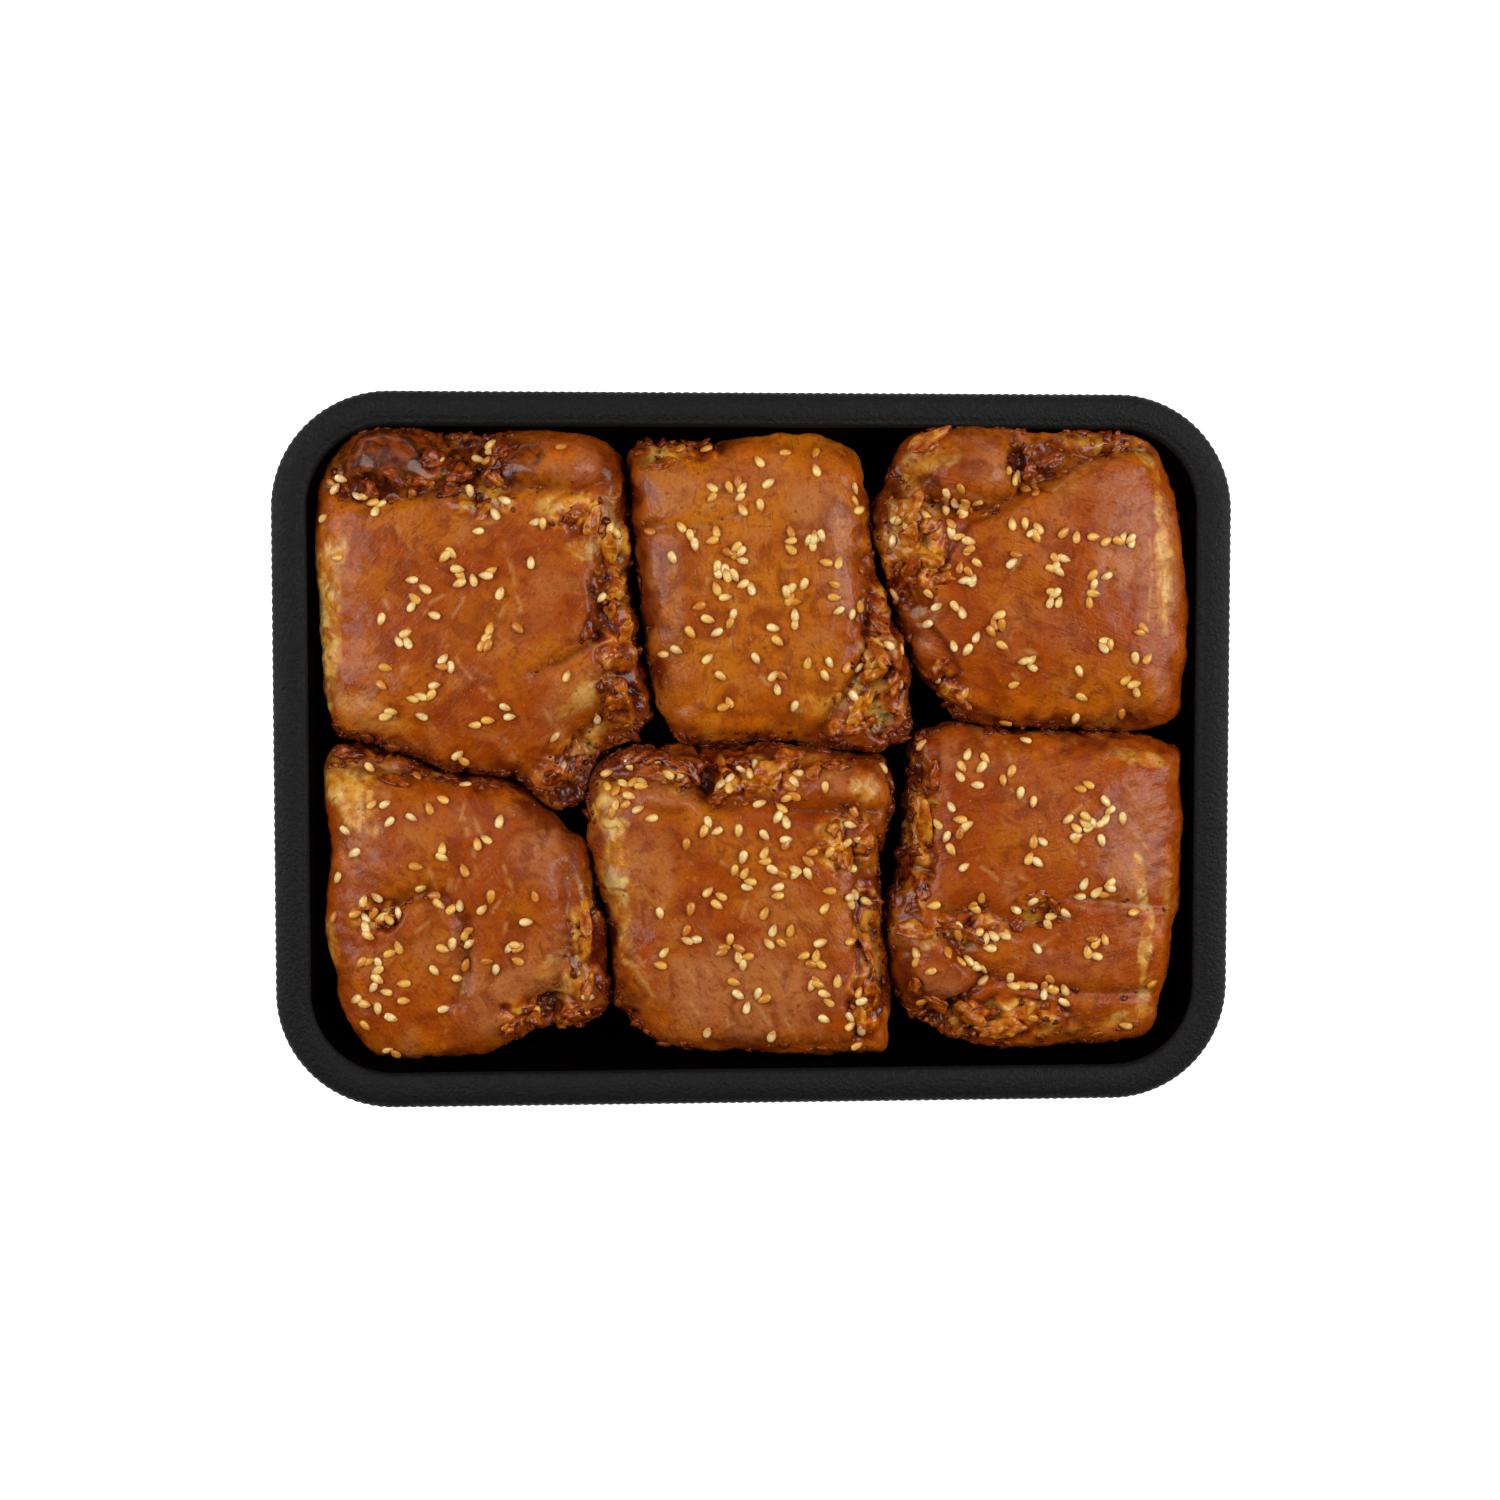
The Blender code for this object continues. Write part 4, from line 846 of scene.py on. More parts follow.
def build_thigh(name, thigh, outlines, cube, quads, surface):
    """One thigh with its fine relief, and the values at each point that its material reads."""
    points, rough, wander, across = thigh_shape(thigh, outlines[name], cube)
    # Where another thigh lies close: the material darkens this as painted shade between the thighs, with
    # sauce gathered there.
    beside = next_to_others(name, outlines, points[:, 0], points[:, 1])
    beside *= smoothstep(-0.35, 0.25, noise_at(points + 17.0, 5.0))
    rough = np.maximum(rough, 0.55 * beside)
    shoulder = smoothstep(0.72, 0.95, across)
    x, y = points[:, 0] - thigh["shift"][0], points[:, 1] - thigh["shift"][1]
    up = smoothstep(12.0, 24.0, points[:, 2])
    step, edge = along_ledges(thigh["ledges"], x, y)
    points[:, 2] += up * step
    strand = near_lines(thigh["strands"], x, y, 0.42) * smoothstep(-0.25, 0.2, noise_at(points, 2.4))
    height, crown = fine_relief(points, rough, strand, shoulder)
    # The folds, and below them the ledges' torn edges, are darkened in the material: painted shade, with
    # sauce in them.
    crease = np.zeros(len(x))
    for line, depth, width in thigh["folds"]:
        away = from_line(x + 0.8 * wander, y - 0.8 * wander, line)
        crease = np.maximum(crease, min(depth / 2.4, 1.0) * np.exp(-((away / (0.5 * width)) ** 2)))
    # A darker ring round each seed: sauce round the seed and a painted contact shadow under it.
    seed_shadow_and_sauce = np.full(len(x), np.inf)
    for seed_x, seed_y, count in seed_spots(thigh):
        seed_shadow_and_sauce = np.minimum(seed_shadow_and_sauce, np.hypot(x - seed_x, y - seed_y) - 0.6 * math.sqrt(count - 1))
    seed_shadow_and_sauce = (1 - smoothstep(1.0, 2.8, seed_shadow_and_sauce)) * smoothstep(-0.25, 0.35, noise_at(points + 5.0, 3.0))
    points = points + height[:, None] * vertex_normals(points, quads)
    points = keep_in_tray(points, 0.1)
    points[:, 2] = np.maximum(points[:, 2], FLOOR_THICKNESS + 0.1)
    turn = math.radians(thigh["grain"])
    dim = smoothstep(-0.4, 0.3, noise_at(points + 37.0, 8.0))
    bright = smoothstep(-0.15, 0.35, noise_at(points + 41.0, 9.0))
    values = {
        "rough_zone": rough,
        "crown": crown,
        "beside": beside,
        # shoulder: painted shade where the sides turn down to the edge, partly a thicker film of sauce.
        "shoulder": dim * smoothstep(0.86, 1.0, across),
        # glow: a painted glow, a band of brighter orange near the edge as if light shone through the film.
        "glow": bright * np.exp(-(((across - 0.87) / 0.08) ** 2)),
        "fat": zone(thigh["fat"], x, y, 1.9 * wander),
        # dark: thick sauce, and painted shade in the holes and hollows these zones cover.
        "dark": zone(thigh["dark"], x, y, 1.3 * wander),
        # Greyish pale flesh that is partly a painted sheen, the softboxes' reflection on the domes.
        "pale_and_sheen": zone(thigh["pale_and_sheens"], x, y, 0.6 * wander),
        "crease": np.maximum(crease, 0.8 * edge),
        "strand": strand,
        "seed_shadow_and_sauce": seed_shadow_and_sauce,
        "amber": np.full(len(x), thigh["amber"]),
        "grain_along": x * math.cos(turn) + y * math.sin(turn),
        "grain_across": y * math.cos(turn) - x * math.sin(turn),
    }
    return make_piece(name.replace("thigh", "marinated_thigh"), points, quads, surface, values)


# Sesame seeds


def seed_shape():
    """One seed lying flat, a flattened drop with its point at -X, and how dark each of its points is:
    toasted, and painted shade toward its outline, more on one side, and at its point.
    """
    points, faces, rim = [(-SEED_LENGTH / 2, 0, 0)], [], [1.0]
    for ring in range(SEED_RINGS):
        along = -math.cos(math.pi * (ring + 1) / (SEED_RINGS + 1))
        width = ((1 + along) / 2) ** 0.66 * ((1 - along) / 2) ** 0.42 / 0.482
        for i in range(SEED_SIDES):
            angle = 2 * math.pi * i / SEED_SIDES
            c, s = math.cos(angle), math.sin(angle)
            flat = math.copysign(abs(s) ** 0.8, s)
            points.append((
                along * SEED_LENGTH / 2,
                c * width * SEED_WIDTH / 2,
                flat * width**0.6 * SEED_THICKNESS / 2,
            ))
            # Darker toward the outline, more on one side, and at the point: partly toasted, partly painted
            # shade.
            rim.append(max(max(c, -0.6 * c) ** 2, min(1.0, 0.1 - 1.1 * along)))
    points.append((SEED_LENGTH / 2, 0, 0))
    rim.append(0.6)
    last = len(points) - 1
    for i in range(SEED_SIDES):
        j = (i + 1) % SEED_SIDES
        faces.append((0, 1 + j, 1 + i))
        for ring in range(SEED_RINGS - 1):
            low, high = 1 + ring * SEED_SIDES, 1 + (ring + 1) * SEED_SIDES
            faces.append((low + i, low + j, high + j, high + i))
        top = 1 + (SEED_RINGS - 1) * SEED_SIDES
        faces.append((top + i, top + j, last))
    return np.array(points), faces, np.array(rim)


def cluster(draw, x, y, count):
    """Places for seeds that lie together, each as x, y, how high in the heap and its turn."""
    places = [(x, y, 0.0, draw.uniform(0, 2 * math.pi))]
    while len(places) < count:
        angle, distance = draw.uniform(0, 2 * math.pi), draw.uniform(1.5, 2.5)
        near = draw.choice(places)
        new_x, new_y = near[0] + distance * math.cos(angle), near[1] + distance * math.sin(angle)
        closest = min(math.dist((new_x, new_y), place[:2]) for place in places)
        if closest > 1.2:
            rise = SEED_ON_SEED if closest < 1.9 else 0.0
            places.append((new_x, new_y, rise, draw.uniform(0, 2 * math.pi)))
    return places


def ground(tree, x, y):
    """Height and lie of the meat under a seed, from four points round it."""
    hits = []
    for step_x, step_y in ((1.0, 0), (-1.0, 0), (0, 1.0), (0, -1.0)):
        start = Vector((x + step_x, y + step_y, 60.0)) * MM
        hit = tree.ray_cast(start, Vector((0, 0, -1)))[0]
        if hit is None:
            return None, None
        hits.append(hit / MM)
    normal = (hits[0] - hits[1]).cross(hits[2] - hits[3]).normalized()
    return sum(hits, Vector()) / 4, normal


def build_seeds(trees, surface):
    draw = random.Random(11)
    shape, shape_faces, rim = seed_shape()
    points, faces, tones, rims = [], [], [], []
    for name, thigh in THIGHS.items():
        shift_x, shift_y = thigh["shift"]
        for spot_x, spot_y, count in seed_spots(thigh):
            for x, y, rise, turn in cluster(draw, spot_x + shift_x, spot_y + shift_y, count):
                middle, normal = ground(trees[name], x, y)
                if middle is None or normal.z < STEEPEST:
                    continue
                lie = Vector((0, 0, 1)).rotation_difference(normal).to_matrix()
                roll = Matrix.Rotation(draw.uniform(-0.3, 0.3), 3, "X")
                tip = Matrix.Rotation(draw.uniform(-0.2, 0.2), 3, "Y")
                turned = np.array(lie @ Matrix.Rotation(turn, 3, "Z") @ (roll @ tip))
                size = draw.uniform(0.9, 1.08)
                start = len(points) * len(shape)
                centre = np.array(middle + normal * (SEED_LIFT + rise))
                points.append(shape * size @ turned.T + centre)
                faces.extend(tuple(start + i for i in face) for face in shape_faces)
                tones.append(np.full(len(shape), draw.random()))
                rims.append(rim)
    values = {"tone": np.concatenate(tones), "rim": np.concatenate(rims)}
    return make_piece("sesame_seeds", np.concatenate(points), faces, surface, values)


# Crumbs


class Lumps:
    """Rough lumps, each a distorted ball, gathered into one mesh."""

    def __init__(self, seed, detail, crisp):
        self.draw = random.Random(seed)
        self.shapes, self.points, self.faces, self.tones, self.total = [], [], [], [], 0
        for kind in range(6):
            ball = bmesh.new()
            bmesh.ops.create_icosphere(ball, subdivisions=detail, radius=0.5)
            faces = [tuple(corner.index for corner in face.verts) for face in ball.faces]
            points = np.array([corner.co for corner in ball.verts])
            ball.free()
            other = 9.0 * kind
            swell = 1 + 0.9 * noise_at(points + other, 0.5) + crisp * noise_at(points - other, 0.2)
            self.shapes.append((points * swell[:, None], faces))

    def put(self, place, normal, size, turn, tone):
        """A lump of this size along, across and up, partly sunk in a surface."""
        shape, shape_faces = self.draw.choice(self.shapes)
        lie = Vector((0, 0, 1)).rotation_difference(normal).to_matrix() @ Matrix.Rotation(turn, 3, "Z")
        centre = np.array(place + normal * (0.5 - SUNK) * size[2])
        self.points.append(shape * np.array(size) @ np.array(lie).T + centre)
        self.faces.extend(tuple(self.total + i for i in face) for face in shape_faces)
        self.total += len(shape)
        self.tones.append(np.full(len(shape), tone))

    def finish(self, name, surface):
        points = keep_in_tray(np.concatenate(self.points), 0.05)
        points[:, 2] = np.maximum(points[:, 2], FLOOR_THICKNESS)
        return make_piece(name, points, self.faces, surface, {"tone": np.concatenate(self.tones)})


def along_line(draw, line, per_mm, spread):
    """Random places near a line through these points."""
    for (x0, y0), (x1, y1) in zip(line, line[1:]):
        for _ in range(round(math.dist((x0, y0), (x1, y1)) * per_mm)):
            share = draw.random()
            x = x0 + share * (x1 - x0) + draw.gauss(0, spread)
            y = y0 + share * (y1 - y0) + draw.gauss(0, spread)
            yield x, y


def build_crumbs(trees, surface):
    """Clots of marinade and spice, strewn on the rough zones, in the creases and in the gaps."""
    lumps = Lumps(5, 2, 0.45)
    draw = lumps.draw
    for name, thigh in THIGHS.items():
        spots = []
        for middle_x, middle_y, half_length, half_width in thigh["crags"]:
            for _ in range(int(CRUMBS_PER_CM2 * math.pi * half_length * half_width / 100)):
                angle, out = draw.uniform(0, 2 * math.pi), math.sqrt(draw.random())
                x = middle_x + out * half_length * math.cos(angle)
                y = middle_y + out * half_width * math.sin(angle)
                spots.append((x, y))
        for line, depth, _ in thigh["folds"]:
            spots.extend(along_line(draw, line, CRUMBS_IN_FOLD * depth, CRUMB_SPREAD))
        for x, y in spots:
            above = Vector((x + thigh["shift"][0], y + thigh["shift"][1], 60.0))
            hit, normal = trees[name].ray_cast(above * MM, Vector((0, 0, -1)))[:2]
            if hit is not None:
                size = min(draw.lognormvariate(-0.25, 0.45), 1.8)
                shape = (size * draw.uniform(1.0, 1.7), size, size * 0.7)
                lumps.put(hit / MM, normal, shape, draw.uniform(0, 6.28), draw.random())
    for line, per_mm, low, high, tone in CLOTTED:
        for x, y in along_line(draw, line, CLOT_DENSITY * per_mm, CLOT_SPREAD):
            probe = Vector((x + CLOT_SHIFT[0], y + CLOT_SHIFT[1], draw.uniform(low, high))) * MM
            found = [tree.find_nearest(probe) for tree in trees.values()]
            hit, normal = min(found, key=lambda nearest: nearest[3])[:2]
            size = min(draw.lognormvariate(-0.2, 0.5), 2.4)
            shape = (size * draw.uniform(1.0, 1.9), size, size * 0.6)
            lumps.put(hit / MM, normal, shape, draw.uniform(0, 6.28), tone * draw.uniform(0.3, 1.3))
    return lumps.finish("marinade_crumbs", surface)


def build_scraps(trees, surface):
    """Bigger torn bits of fat and flesh, half sunk in the meat."""
    lumps = Lumps(8, 4, 0.16)
    for name, thigh in THIGHS.items():
        for x, y, length, width, turn, tone in thigh["scraps"]:
            probe = Vector((x + thigh["shift"][0], y + thigh["shift"][1], 31.0)) * MM
            hit, normal = trees[name].find_nearest(probe)[:2]
            shape = (length, width, min(0.7 * width, 3.6))
            lumps.put(hit / MM, normal, shape, math.radians(turn), tone)
    return lumps.finish("torn_scraps", surface)


# Materials


class Surface:
    """Builds one material's nodes, a short call for each."""

    def __init__(self, name):
        self.material = bpy.data.materials.new(name)
        self.material.use_nodes = True
        self.nodes = self.material.node_tree.nodes
        self.links = self.material.node_tree.links
        self.shader = self.nodes["Principled BSDF"]
        self.place = self.nodes.new("ShaderNodeTexCoord").outputs["Object"]

    def put(self, socket, value):
        if isinstance(value, bpy.types.NodeSocket):
            self.links.new(value, socket)
        elif socket.type == "RGBA" and len(value) == 3:
            socket.default_value = (*value, 1.0)
        else:
            socket.default_value = value

    def number(self, name):
        """A value that the mesh has at each point."""
        node = self.nodes.new("ShaderNodeAttribute")
        node.attribute_name = name
        return node.outputs["Fac"]

    def stretched(self, scale, turn=0.0):
        node = self.nodes.new("ShaderNodeMapping")
        node.inputs["Scale"].default_value = scale
        node.inputs["Rotation"].default_value = (0, 0, math.radians(turn))
        self.links.new(self.place, node.inputs["Vector"])
        return node.outputs["Vector"]

    def fibre_place(self, along, across):
        """Places measured along and across the muscle's fibres, so that noise follows them."""
        node = self.nodes.new("ShaderNodeCombineXYZ")
        self.put(node.inputs["X"], self.times(self.number("grain_along"), along * MM))
        self.put(node.inputs["Y"], self.times(self.number("grain_across"), across * MM))
        return node.outputs["Vector"]

    def cloud(self, size, detail=3.0, place=None, distortion=0.0):
        """Soft noise whose blotches are about this many millimetres wide."""
        node = self.nodes.new("ShaderNodeTexNoise")
        self.links.new(place or self.place, node.inputs["Vector"])
        node.inputs["Scale"].default_value = 1 / (size * MM)
        node.inputs["Detail"].default_value = detail
        node.inputs["Distortion"].default_value = distortion
        return node.outputs["Fac"]

    def cells(self, size):
        node = self.nodes.new("ShaderNodeTexVoronoi")
        self.links.new(self.place, node.inputs["Vector"])
        node.inputs["Scale"].default_value = 1 / (size * MM)
        return node

    def maths(self, operation, a, b=0.0, clamp=False):
        node = self.nodes.new("ShaderNodeMath")
        node.operation = operation
        node.use_clamp = clamp
        self.put(node.inputs[0], a)
        self.put(node.inputs[1], b)
        return node.outputs[0]

    def times(self, a, b):
        return self.maths("MULTIPLY", a, b)

    def plus(self, a, b, clamp=False):
        return self.maths("ADD", a, b, clamp)

    def between(self, value, low, high, new_low=0.0, new_high=1.0):
        node = self.nodes.new("ShaderNodeMapRange")
        node.interpolation_type = "SMOOTHSTEP"
        self.put(node.inputs["Value"], value)
        node.inputs["From Min"].default_value = low
        node.inputs["From Max"].default_value = high
        node.inputs["To Min"].default_value = new_low
        node.inputs["To Max"].default_value = new_high
        return node.outputs["Result"]

    def ramp(self, value, *stops):
        """Colours along a value, each as (place, colour)."""
        node = self.nodes.new("ShaderNodeValToRGB")
        for _ in stops[2:]:
            node.color_ramp.elements.new(0.5)
        for element, (place, colour) in zip(node.color_ramp.elements, stops):
            element.position = place
            element.color = (*colour, 1.0)
        self.put(node.inputs["Fac"], value)
        return node.outputs["Color"]

    def mix(self, share, a, b):
        node = self.nodes.new("ShaderNodeMix")
        node.data_type = "RGBA"
        self.put(node.inputs["Factor"], share)
        self.put(node.inputs[6], a)
        self.put(node.inputs[7], b)
        return node.outputs[2]

    def bump(self, height, distance):
        """Relief this many millimetres high."""
        node = self.nodes.new("ShaderNodeBump")
        self.put(node.inputs["Height"], height)
        node.inputs["Distance"].default_value = distance * MM
        node.inputs["Strength"].default_value = 1.0
        self.links.new(node.outputs["Normal"], self.shader.inputs["Normal"])

    def finish(self, **values):
        for name, value in values.items():
            self.put(self.shader.inputs[name.replace("_", " ")], value)
        return self.material


def muscle_colour(s, fibres, film):
    """Smooth flesh under a film of marinade: mottled brown to amber, with fibres, specks and clots,
    with a painted sheen, a painted glow near the edges and painted shade on the sides.
    """
    brown, amber = (0.340, 0.057, 0.0012), (0.485, 0.134, 0.0034)
    deep, pale = (0.195, 0.022, 0.0005), (0.45, 0.160, 0.040)
    drift = s.between(s.cloud(17.0, 3.0), 0.36, 0.64, -0.5, 0.5)
    colour = s.mix(s.plus(s.number("amber"), drift, clamp=True), brown, amber)
    colour = s.mix(s.between(s.cloud(11.0, 4.0, distortion=0.8), 0.52, 0.70, 0.0, 0.45), colour, pale)
    # Painted sheen: greyish pale colour where the softboxes would reflect, partly pale flesh.
    colour = s.mix(s.times(s.number("pale_and_sheen"), 0.7), colour, (0.45, 0.168, 0.056))
    colour = s.mix(s.between(s.cloud(6.5, 5.0, distortion=1.0), 0.47, 0.66, 0.0, 0.62), colour, deep)
    colour = s.mix(s.between(fibres, 0.54, 0.74, 0.0, 0.22), colour, pale)
    colour = s.mix(s.times(film, 0.5), colour, (0.27, 0.050, 0.006))
    patches = s.between(s.cloud(3.2, 4.0, distortion=0.8), 0.36, 0.60, 0.15, 0.85)
    # Painted glow: brighter saturated orange near the edges, as of light through the thin film.
    colour = s.mix(s.times(s.number("glow"), patches), colour, (0.54, 0.120, 0.0022))
    # Painted shade: darker toward the sides' edges, partly a thicker film of sauce.
    colour = s.mix(s.times(s.number("shoulder"), patches), colour, (0.23, 0.030, 0.0006))
    return s.mix(s.between(s.cloud(0.9, 4.0), 0.50, 0.68, 0.0, 0.38), colour, deep)


def flesh_colour(s):
    """Lumpy fat and torn flesh: dark in the clefts, as sauce and painted shade, orange to pale on the
    crowns.
    """
    drift = s.between(s.cloud(3.8, 4.0, distortion=0.7), 0.3, 0.7, -0.30, 0.22)
    return s.ramp(
        s.plus(s.number("crown"), drift),
        (0.0, (0.040, 0.003, 0.0003)), (0.24, (0.14, 0.013, 0.0005)), (0.48, (0.28, 0.039, 0.0009)),
        (0.70, (0.43, 0.086, 0.0020)), (0.89, (0.56, 0.165, 0.0060)), (1.0, (0.66, 0.300, 0.026)),
    )


def fat_colour(s):
    """Pale skin and fat, stained orange along fine cracks."""
    colour = s.ramp(
        s.cloud(4.5, 4.0, distortion=0.5),
        (0.32, (0.56, 0.160, 0.006)), (0.47, (0.70, 0.330, 0.036)), (0.62, (0.79, 0.530, 0.150)),
    )
    cracks = s.between(s.cloud(1.5, 3.0, s.stretched((1.0, 0.28, 1.0), -18.0)), 0.56, 0.68, 0.0, 0.6)
    return s.mix(cracks, colour, (0.46, 0.10, 0.003))


def specks(s, size, share, radius):
    """Scattered round specks: 1 inside them. share is how many of the cells have one."""
    dots = s.cells(size)
    chance = s.maths("FRACT", s.times(dots.outputs["Color"], 7.31))
    reach = s.between(chance, 1 - share, 1.0, 0.0, radius)
    return s.between(s.maths("SUBTRACT", reach, dots.outputs["Distance"]), 0.0, 0.05)


def meat_surface():
    s = Surface("marinated_meat")
    fibres = s.cloud(1.0, 3.0, s.fibre_place(0.11, 1.6))
    strokes = s.cloud(1.0, 4.0, s.fibre_place(0.22, 0.6), distortion=1.2)
    film = s.maths("MAXIMUM", s.between(strokes, 0.60, 0.68), s.times(s.number("seed_shadow_and_sauce"), 0.5))
    colour = muscle_colour(s, fibres, film)
    colour = s.mix(s.number("rough_zone"), colour, flesh_colour(s))
    bare = s.between(s.cloud(4.0, 5.0, distortion=1.2), 0.36, 0.58, 0.25, 1.0)
    colour = s.mix(s.times(s.number("fat"), bare), colour, fat_colour(s))
    for share, strength, shade in (
        (s.number("strand"), 0.6, (0.56, 0.26, 0.075)),
        # sauce round the seeds and a painted contact shadow under them
        (s.number("seed_shadow_and_sauce"), 0.5, (0.22, 0.029, 0.001)),
        (specks(s, 2.6, 0.5, 0.26), 0.6, (0.22, 0.029, 0.0015)),
        (specks(s, 1.3, 0.45, 0.17), 0.75, (0.60, 0.22, 0.03)),
    ):
        colour = s.mix(s.times(share, strength), colour, shade)
    # The dark zones: thick sauce, and painted shade in the holes and hollows they cover.
    clots = s.between(s.cloud(2.4, 4.0, distortion=0.6), 0.36, 0.60)
    dark_sauce_and_shade = s.times(s.number("dark"), s.plus(0.62, s.times(clots, 0.38)))
    colour = s.mix(dark_sauce_and_shade, colour, s.mix(clots, (0.13, 0.016, 0.001), (0.045, 0.006, 0.0008)))
    # Painted shade in the folds and along the ledges' torn edges, with sauce in them.
    colour = s.mix(s.times(s.number("crease"), 0.75), colour, (0.085, 0.010, 0.0008))
    # Painted shade between the thighs where they lie together, with sauce gathered there.
    colour = s.mix(s.times(s.number("beside"), 0.8), colour, (0.125, 0.012, 0.0006))
    wet = s.maths("MAXIMUM", s.number("rough_zone"), s.number("dark"))
    wet = s.maths("MAXIMUM", wet, s.times(film, 0.5))
    rough = s.between(wet, 0.0, 1.0, 0.31, 0.27)
    rough = s.plus(rough, s.between(s.cloud(1.8, 3.0), 0.3, 0.7, -0.06, 0.06))
    grain = s.plus(s.cloud(0.7, 3.0), s.times(s.cloud(1.7, 3.0), 1.8))
    grain = s.plus(grain, s.times(film, 0.9))
    s.bump(s.plus(grain, s.times(fibres, 0.8)), 0.13)
    return s.finish(
        Base_Color=colour, Roughness=rough, IOR=1.34, Specular_IOR_Level=0.28,
        Subsurface_Weight=0.16, Subsurface_Radius=MEAT_GLOW, Subsurface_Scale=2.0 * MM,
        Coat_Weight=s.between(wet, 0.0, 1.0, 0.09, 0.32), Coat_Roughness=0.10,
    )


def seed_surface():
    s = Surface("sesame")
    body = s.ramp(
        s.number("tone"),
        (0.0, (0.96, 0.78, 0.38)), (0.40, (0.94, 0.68, 0.22)), (0.70, (0.86, 0.48, 0.075)),
        (0.88, (0.66, 0.25, 0.018)), (1.0, (0.46, 0.12, 0.004)),
    )
    body = s.mix(s.between(s.cloud(1.1, 2.0), 0.46, 0.66, 0.0, 0.45), body, (0.68, 0.27, 0.03))
    # The seed's darker edge: toasted, and painted shade toward its outline.
    body = s.mix(s.times(s.number("rim"), 0.85), body, (0.50, 0.15, 0.007))
    s.bump(s.cloud(0.35, 2.0), 0.05)
    return s.finish(Base_Color=body, Roughness=0.34, IOR=1.42, Subsurface_Weight=0.12,
                    Subsurface_Radius=(1.0, 0.6, 0.3), Subsurface_Scale=0.6 * MM, Coat_Weight=0.3,
                    Coat_Roughness=0.15)


def crumb_surface():
    s = Surface("marinade")
    body = s.ramp(
        s.number("tone"),
        (0.0, (0.075, 0.008, 0.0005)), (0.40, (0.17, 0.022, 0.0008)), (0.75, (0.32, 0.060, 0.002)),
        (1.0, (0.46, 0.14, 0.009)),
    )
    body = s.mix(s.between(s.cloud(0.9, 3.0), 0.45, 0.62, 0.0, 0.7), body, (0.11, 0.012, 0.0006))
    s.bump(s.cloud(0.5, 3.0), 0.15)
    return s.finish(Base_Color=body, Roughness=0.28, IOR=1.34, Specular_IOR_Level=0.3,
                    Coat_Weight=0.35, Coat_Roughness=0.09)


def scrap_surface():
    """Torn flesh and fat: dark red in its hollows and orange to yellow on top, lighter with its tone."""
    s = Surface("torn_scraps")
    height = s.plus(s.cloud(2.6, 4.0, distortion=0.8), s.times(s.number("tone"), 0.26))
    body = s.ramp(
        height,
        (0.38, (0.060, 0.005, 0.0004)), (0.50, (0.17, 0.020, 0.0006)), (0.62, (0.33, 0.058, 0.0012)),
        (0.74, (0.48, 0.130, 0.0040)), (0.90, (0.62, 0.270, 0.0220)),
    )
    s.bump(s.plus(s.cloud(1.6, 3.0), s.cloud(0.6, 3.0)), 0.2)
    return s.finish(Base_Color=body, Roughness=0.27, IOR=1.34, Specular_IOR_Level=0.35,
                    Subsurface_Weight=0.16, Subsurface_Radius=MEAT_GLOW,
                    Subsurface_Scale=1.0 * MM, Coat_Weight=0.35, Coat_Roughness=0.09)


def foam_surface():
    """The tray's outside and lip: fine black beads, slightly satin."""
    s = Surface("black_foam")
    beads = s.cells(0.8)
    shade = s.ramp(s.cloud(0.9, 4.0), (0.3, (0.0045, 0.0045, 0.0043)), (0.7, (0.0085, 0.0085, 0.0081)))
    grain = s.plus(s.times(beads.outputs["Distance"], 0.7), s.cloud(0.45, 3.0))
    s.bump(grain, 0.2)
    rough = s.between(s.cloud(2.5, 2.0), 0.3, 0.7, 0.46, 0.56)
    return s.finish(Base_Color=shade, Roughness=rough, IOR=1.25)


def wet_shaded_foam_surface():
    """The tray's inner wall and floor: black foam made near-black, partly by sauce and partly as painted
    shade, with scattered wet drops.
    """
    s = Surface("wet_shaded_foam")
    stain = s.times(s.between(s.cloud(7.0, 4.0), 0.46, 0.66), s.number("wet"))
    # The near-black base is painted shade inside the tray, and sauce; the stain is reddish sauce.
    shade = s.mix(stain, (0.0007, 0.0007, 0.0007), (0.0030, 0.0006, 0.0003))
    drops = s.between(s.cloud(2.2, 4.0, distortion=0.8), 0.62, 0.68)
    film = s.times(drops, s.number("wet"))
    s.bump(s.plus(s.cloud(0.5, 3.0), s.times(drops, 2.0)), 0.12)
    return s.finish(
        Base_Color=shade, Roughness=s.between(film, 0.0, 1.0, 0.5, 0.08), IOR=1.3,
        Specular_IOR_Level=0.03, Coat_Weight=s.times(film, 0.45), Coat_Roughness=0.08,
    )


# The studio


def build_lights():
    for name, place, size, power in SOFTBOXES:
        light = bpy.data.lights.new(name, "AREA")
        light.shape = "RECTANGLE"
        light.size, light.size_y = size
        light.energy = power
        made = bpy.data.objects.new(name, light)
        made.location = place
        aim = Vector(LIT_PLACE) - Vector(place)
        made.rotation_euler = aim.to_track_quat("-Z", "Y").to_euler()
        bpy.context.scene.collection.objects.link(made)


def build_world():
    """Dim light from all round, and a white backdrop wherever the camera sees past the floor."""
    world = bpy.data.worlds.new("studio")
    world.use_nodes = True
    nodes, links = world.node_tree.nodes, world.node_tree.links
    seen = nodes.new("ShaderNodeLightPath").outputs["Is Camera Ray"]
    strength = nodes.new("ShaderNodeMapRange")
    strength.inputs["To Min"].default_value = DIM_ROOM
    strength.inputs["To Max"].default_value = 1.0
    links.new(seen, strength.inputs["Value"])
    links.new(strength.outputs["Result"], nodes["Background"].inputs["Strength"])
    nodes["Background"].inputs["Color"].default_value = (1, 1, 1, 1)
    bpy.context.scene.world = world


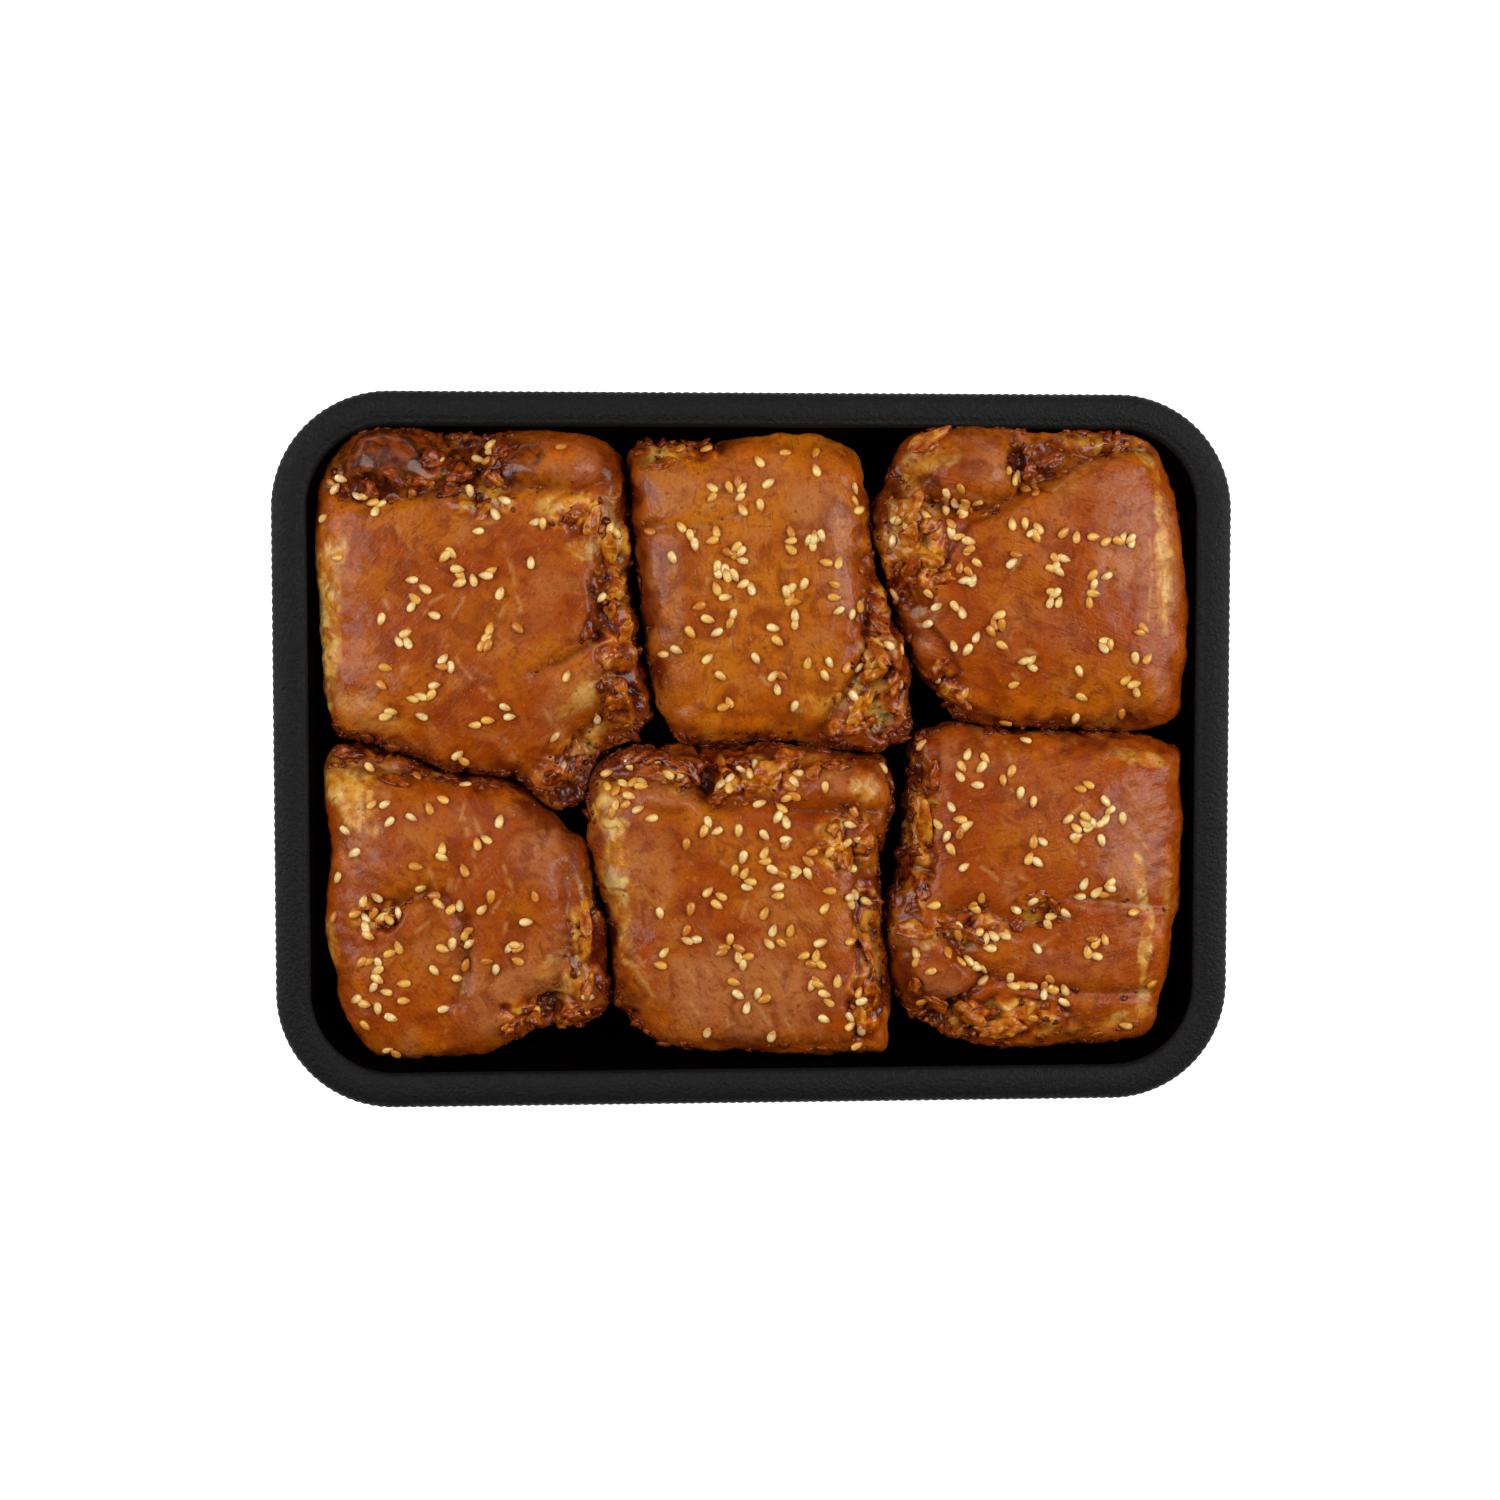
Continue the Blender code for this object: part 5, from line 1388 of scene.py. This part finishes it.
def build_floor():
    surface = bpy.data.materials.new("white_floor")
    surface.use_nodes = True
    shader = surface.node_tree.nodes["Principled BSDF"]
    shader.inputs["Base Color"].default_value = (0.8, 0.8, 0.8, 1.0)
    shader.inputs["Roughness"].default_value = 1.0
    shader.inputs["Emission Color"].default_value = (1, 1, 1, 1)
    shader.inputs["Emission Strength"].default_value = 0.9
    signs = ((-1, -1), (1, -1), (1, 1), (-1, 1))
    corners = [(x * STAGE_HALF, y * STAGE_HALF, -STAGE_DROP) for x, y in signs]
    make_piece("floor", corners, [(0, 1, 2, 3)], surface)


def build_camera():
    lens = bpy.data.cameras.new("camera")
    lens.sensor_width, lens.lens = CAMERA_SENSOR, CAMERA_LENS
    lens.clip_start, lens.clip_end = 0.01, 20.0
    made = bpy.data.objects.new("camera", lens)
    made.location = CAMERA_PLACE
    forward = (Vector(CAMERA_AIM) - Vector(CAMERA_PLACE)).normalized()
    right = forward.cross(Vector((0, 1, 0))).normalized()
    up = right.cross(forward)
    made.rotation_euler = Matrix((right, up, -forward)).transposed().to_euler()
    bpy.context.scene.collection.objects.link(made)
    bpy.context.scene.camera = made
    bpy.context.scene.view_settings.view_transform = "Standard"
    bpy.context.scene.view_settings.look = "None"


def main():
    build_camera()
    build_lights()
    build_world()
    build_floor()
    tray = build_tray(foam_surface(), wet_shaded_foam_surface())
    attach(tray, "root")
    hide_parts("tray")
    cube, quads = cube_grid()
    surface = meat_surface()
    meat = {}
    outlines = press_together({name: smooth_outline(thigh["outline"]) for name, thigh in THIGHS.items()})
    for name, thigh in THIGHS.items():
        meat[name] = build_thigh(name, thigh, outlines, cube, quads, surface)
        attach(meat[name], "root")
        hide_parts(name)
    graph = bpy.context.evaluated_depsgraph_get()
    trees = {name: BVHTree.FromObject(made, graph) for name, made in meat.items()}
    for made, slot in (
        (build_seeds(trees, seed_surface()), "sesame"),
        (build_crumbs(trees, crumb_surface()), "marinade"),
        (build_scraps(trees, scrap_surface()), "marinated_meat"),
    ):
        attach(made, "root")


main()
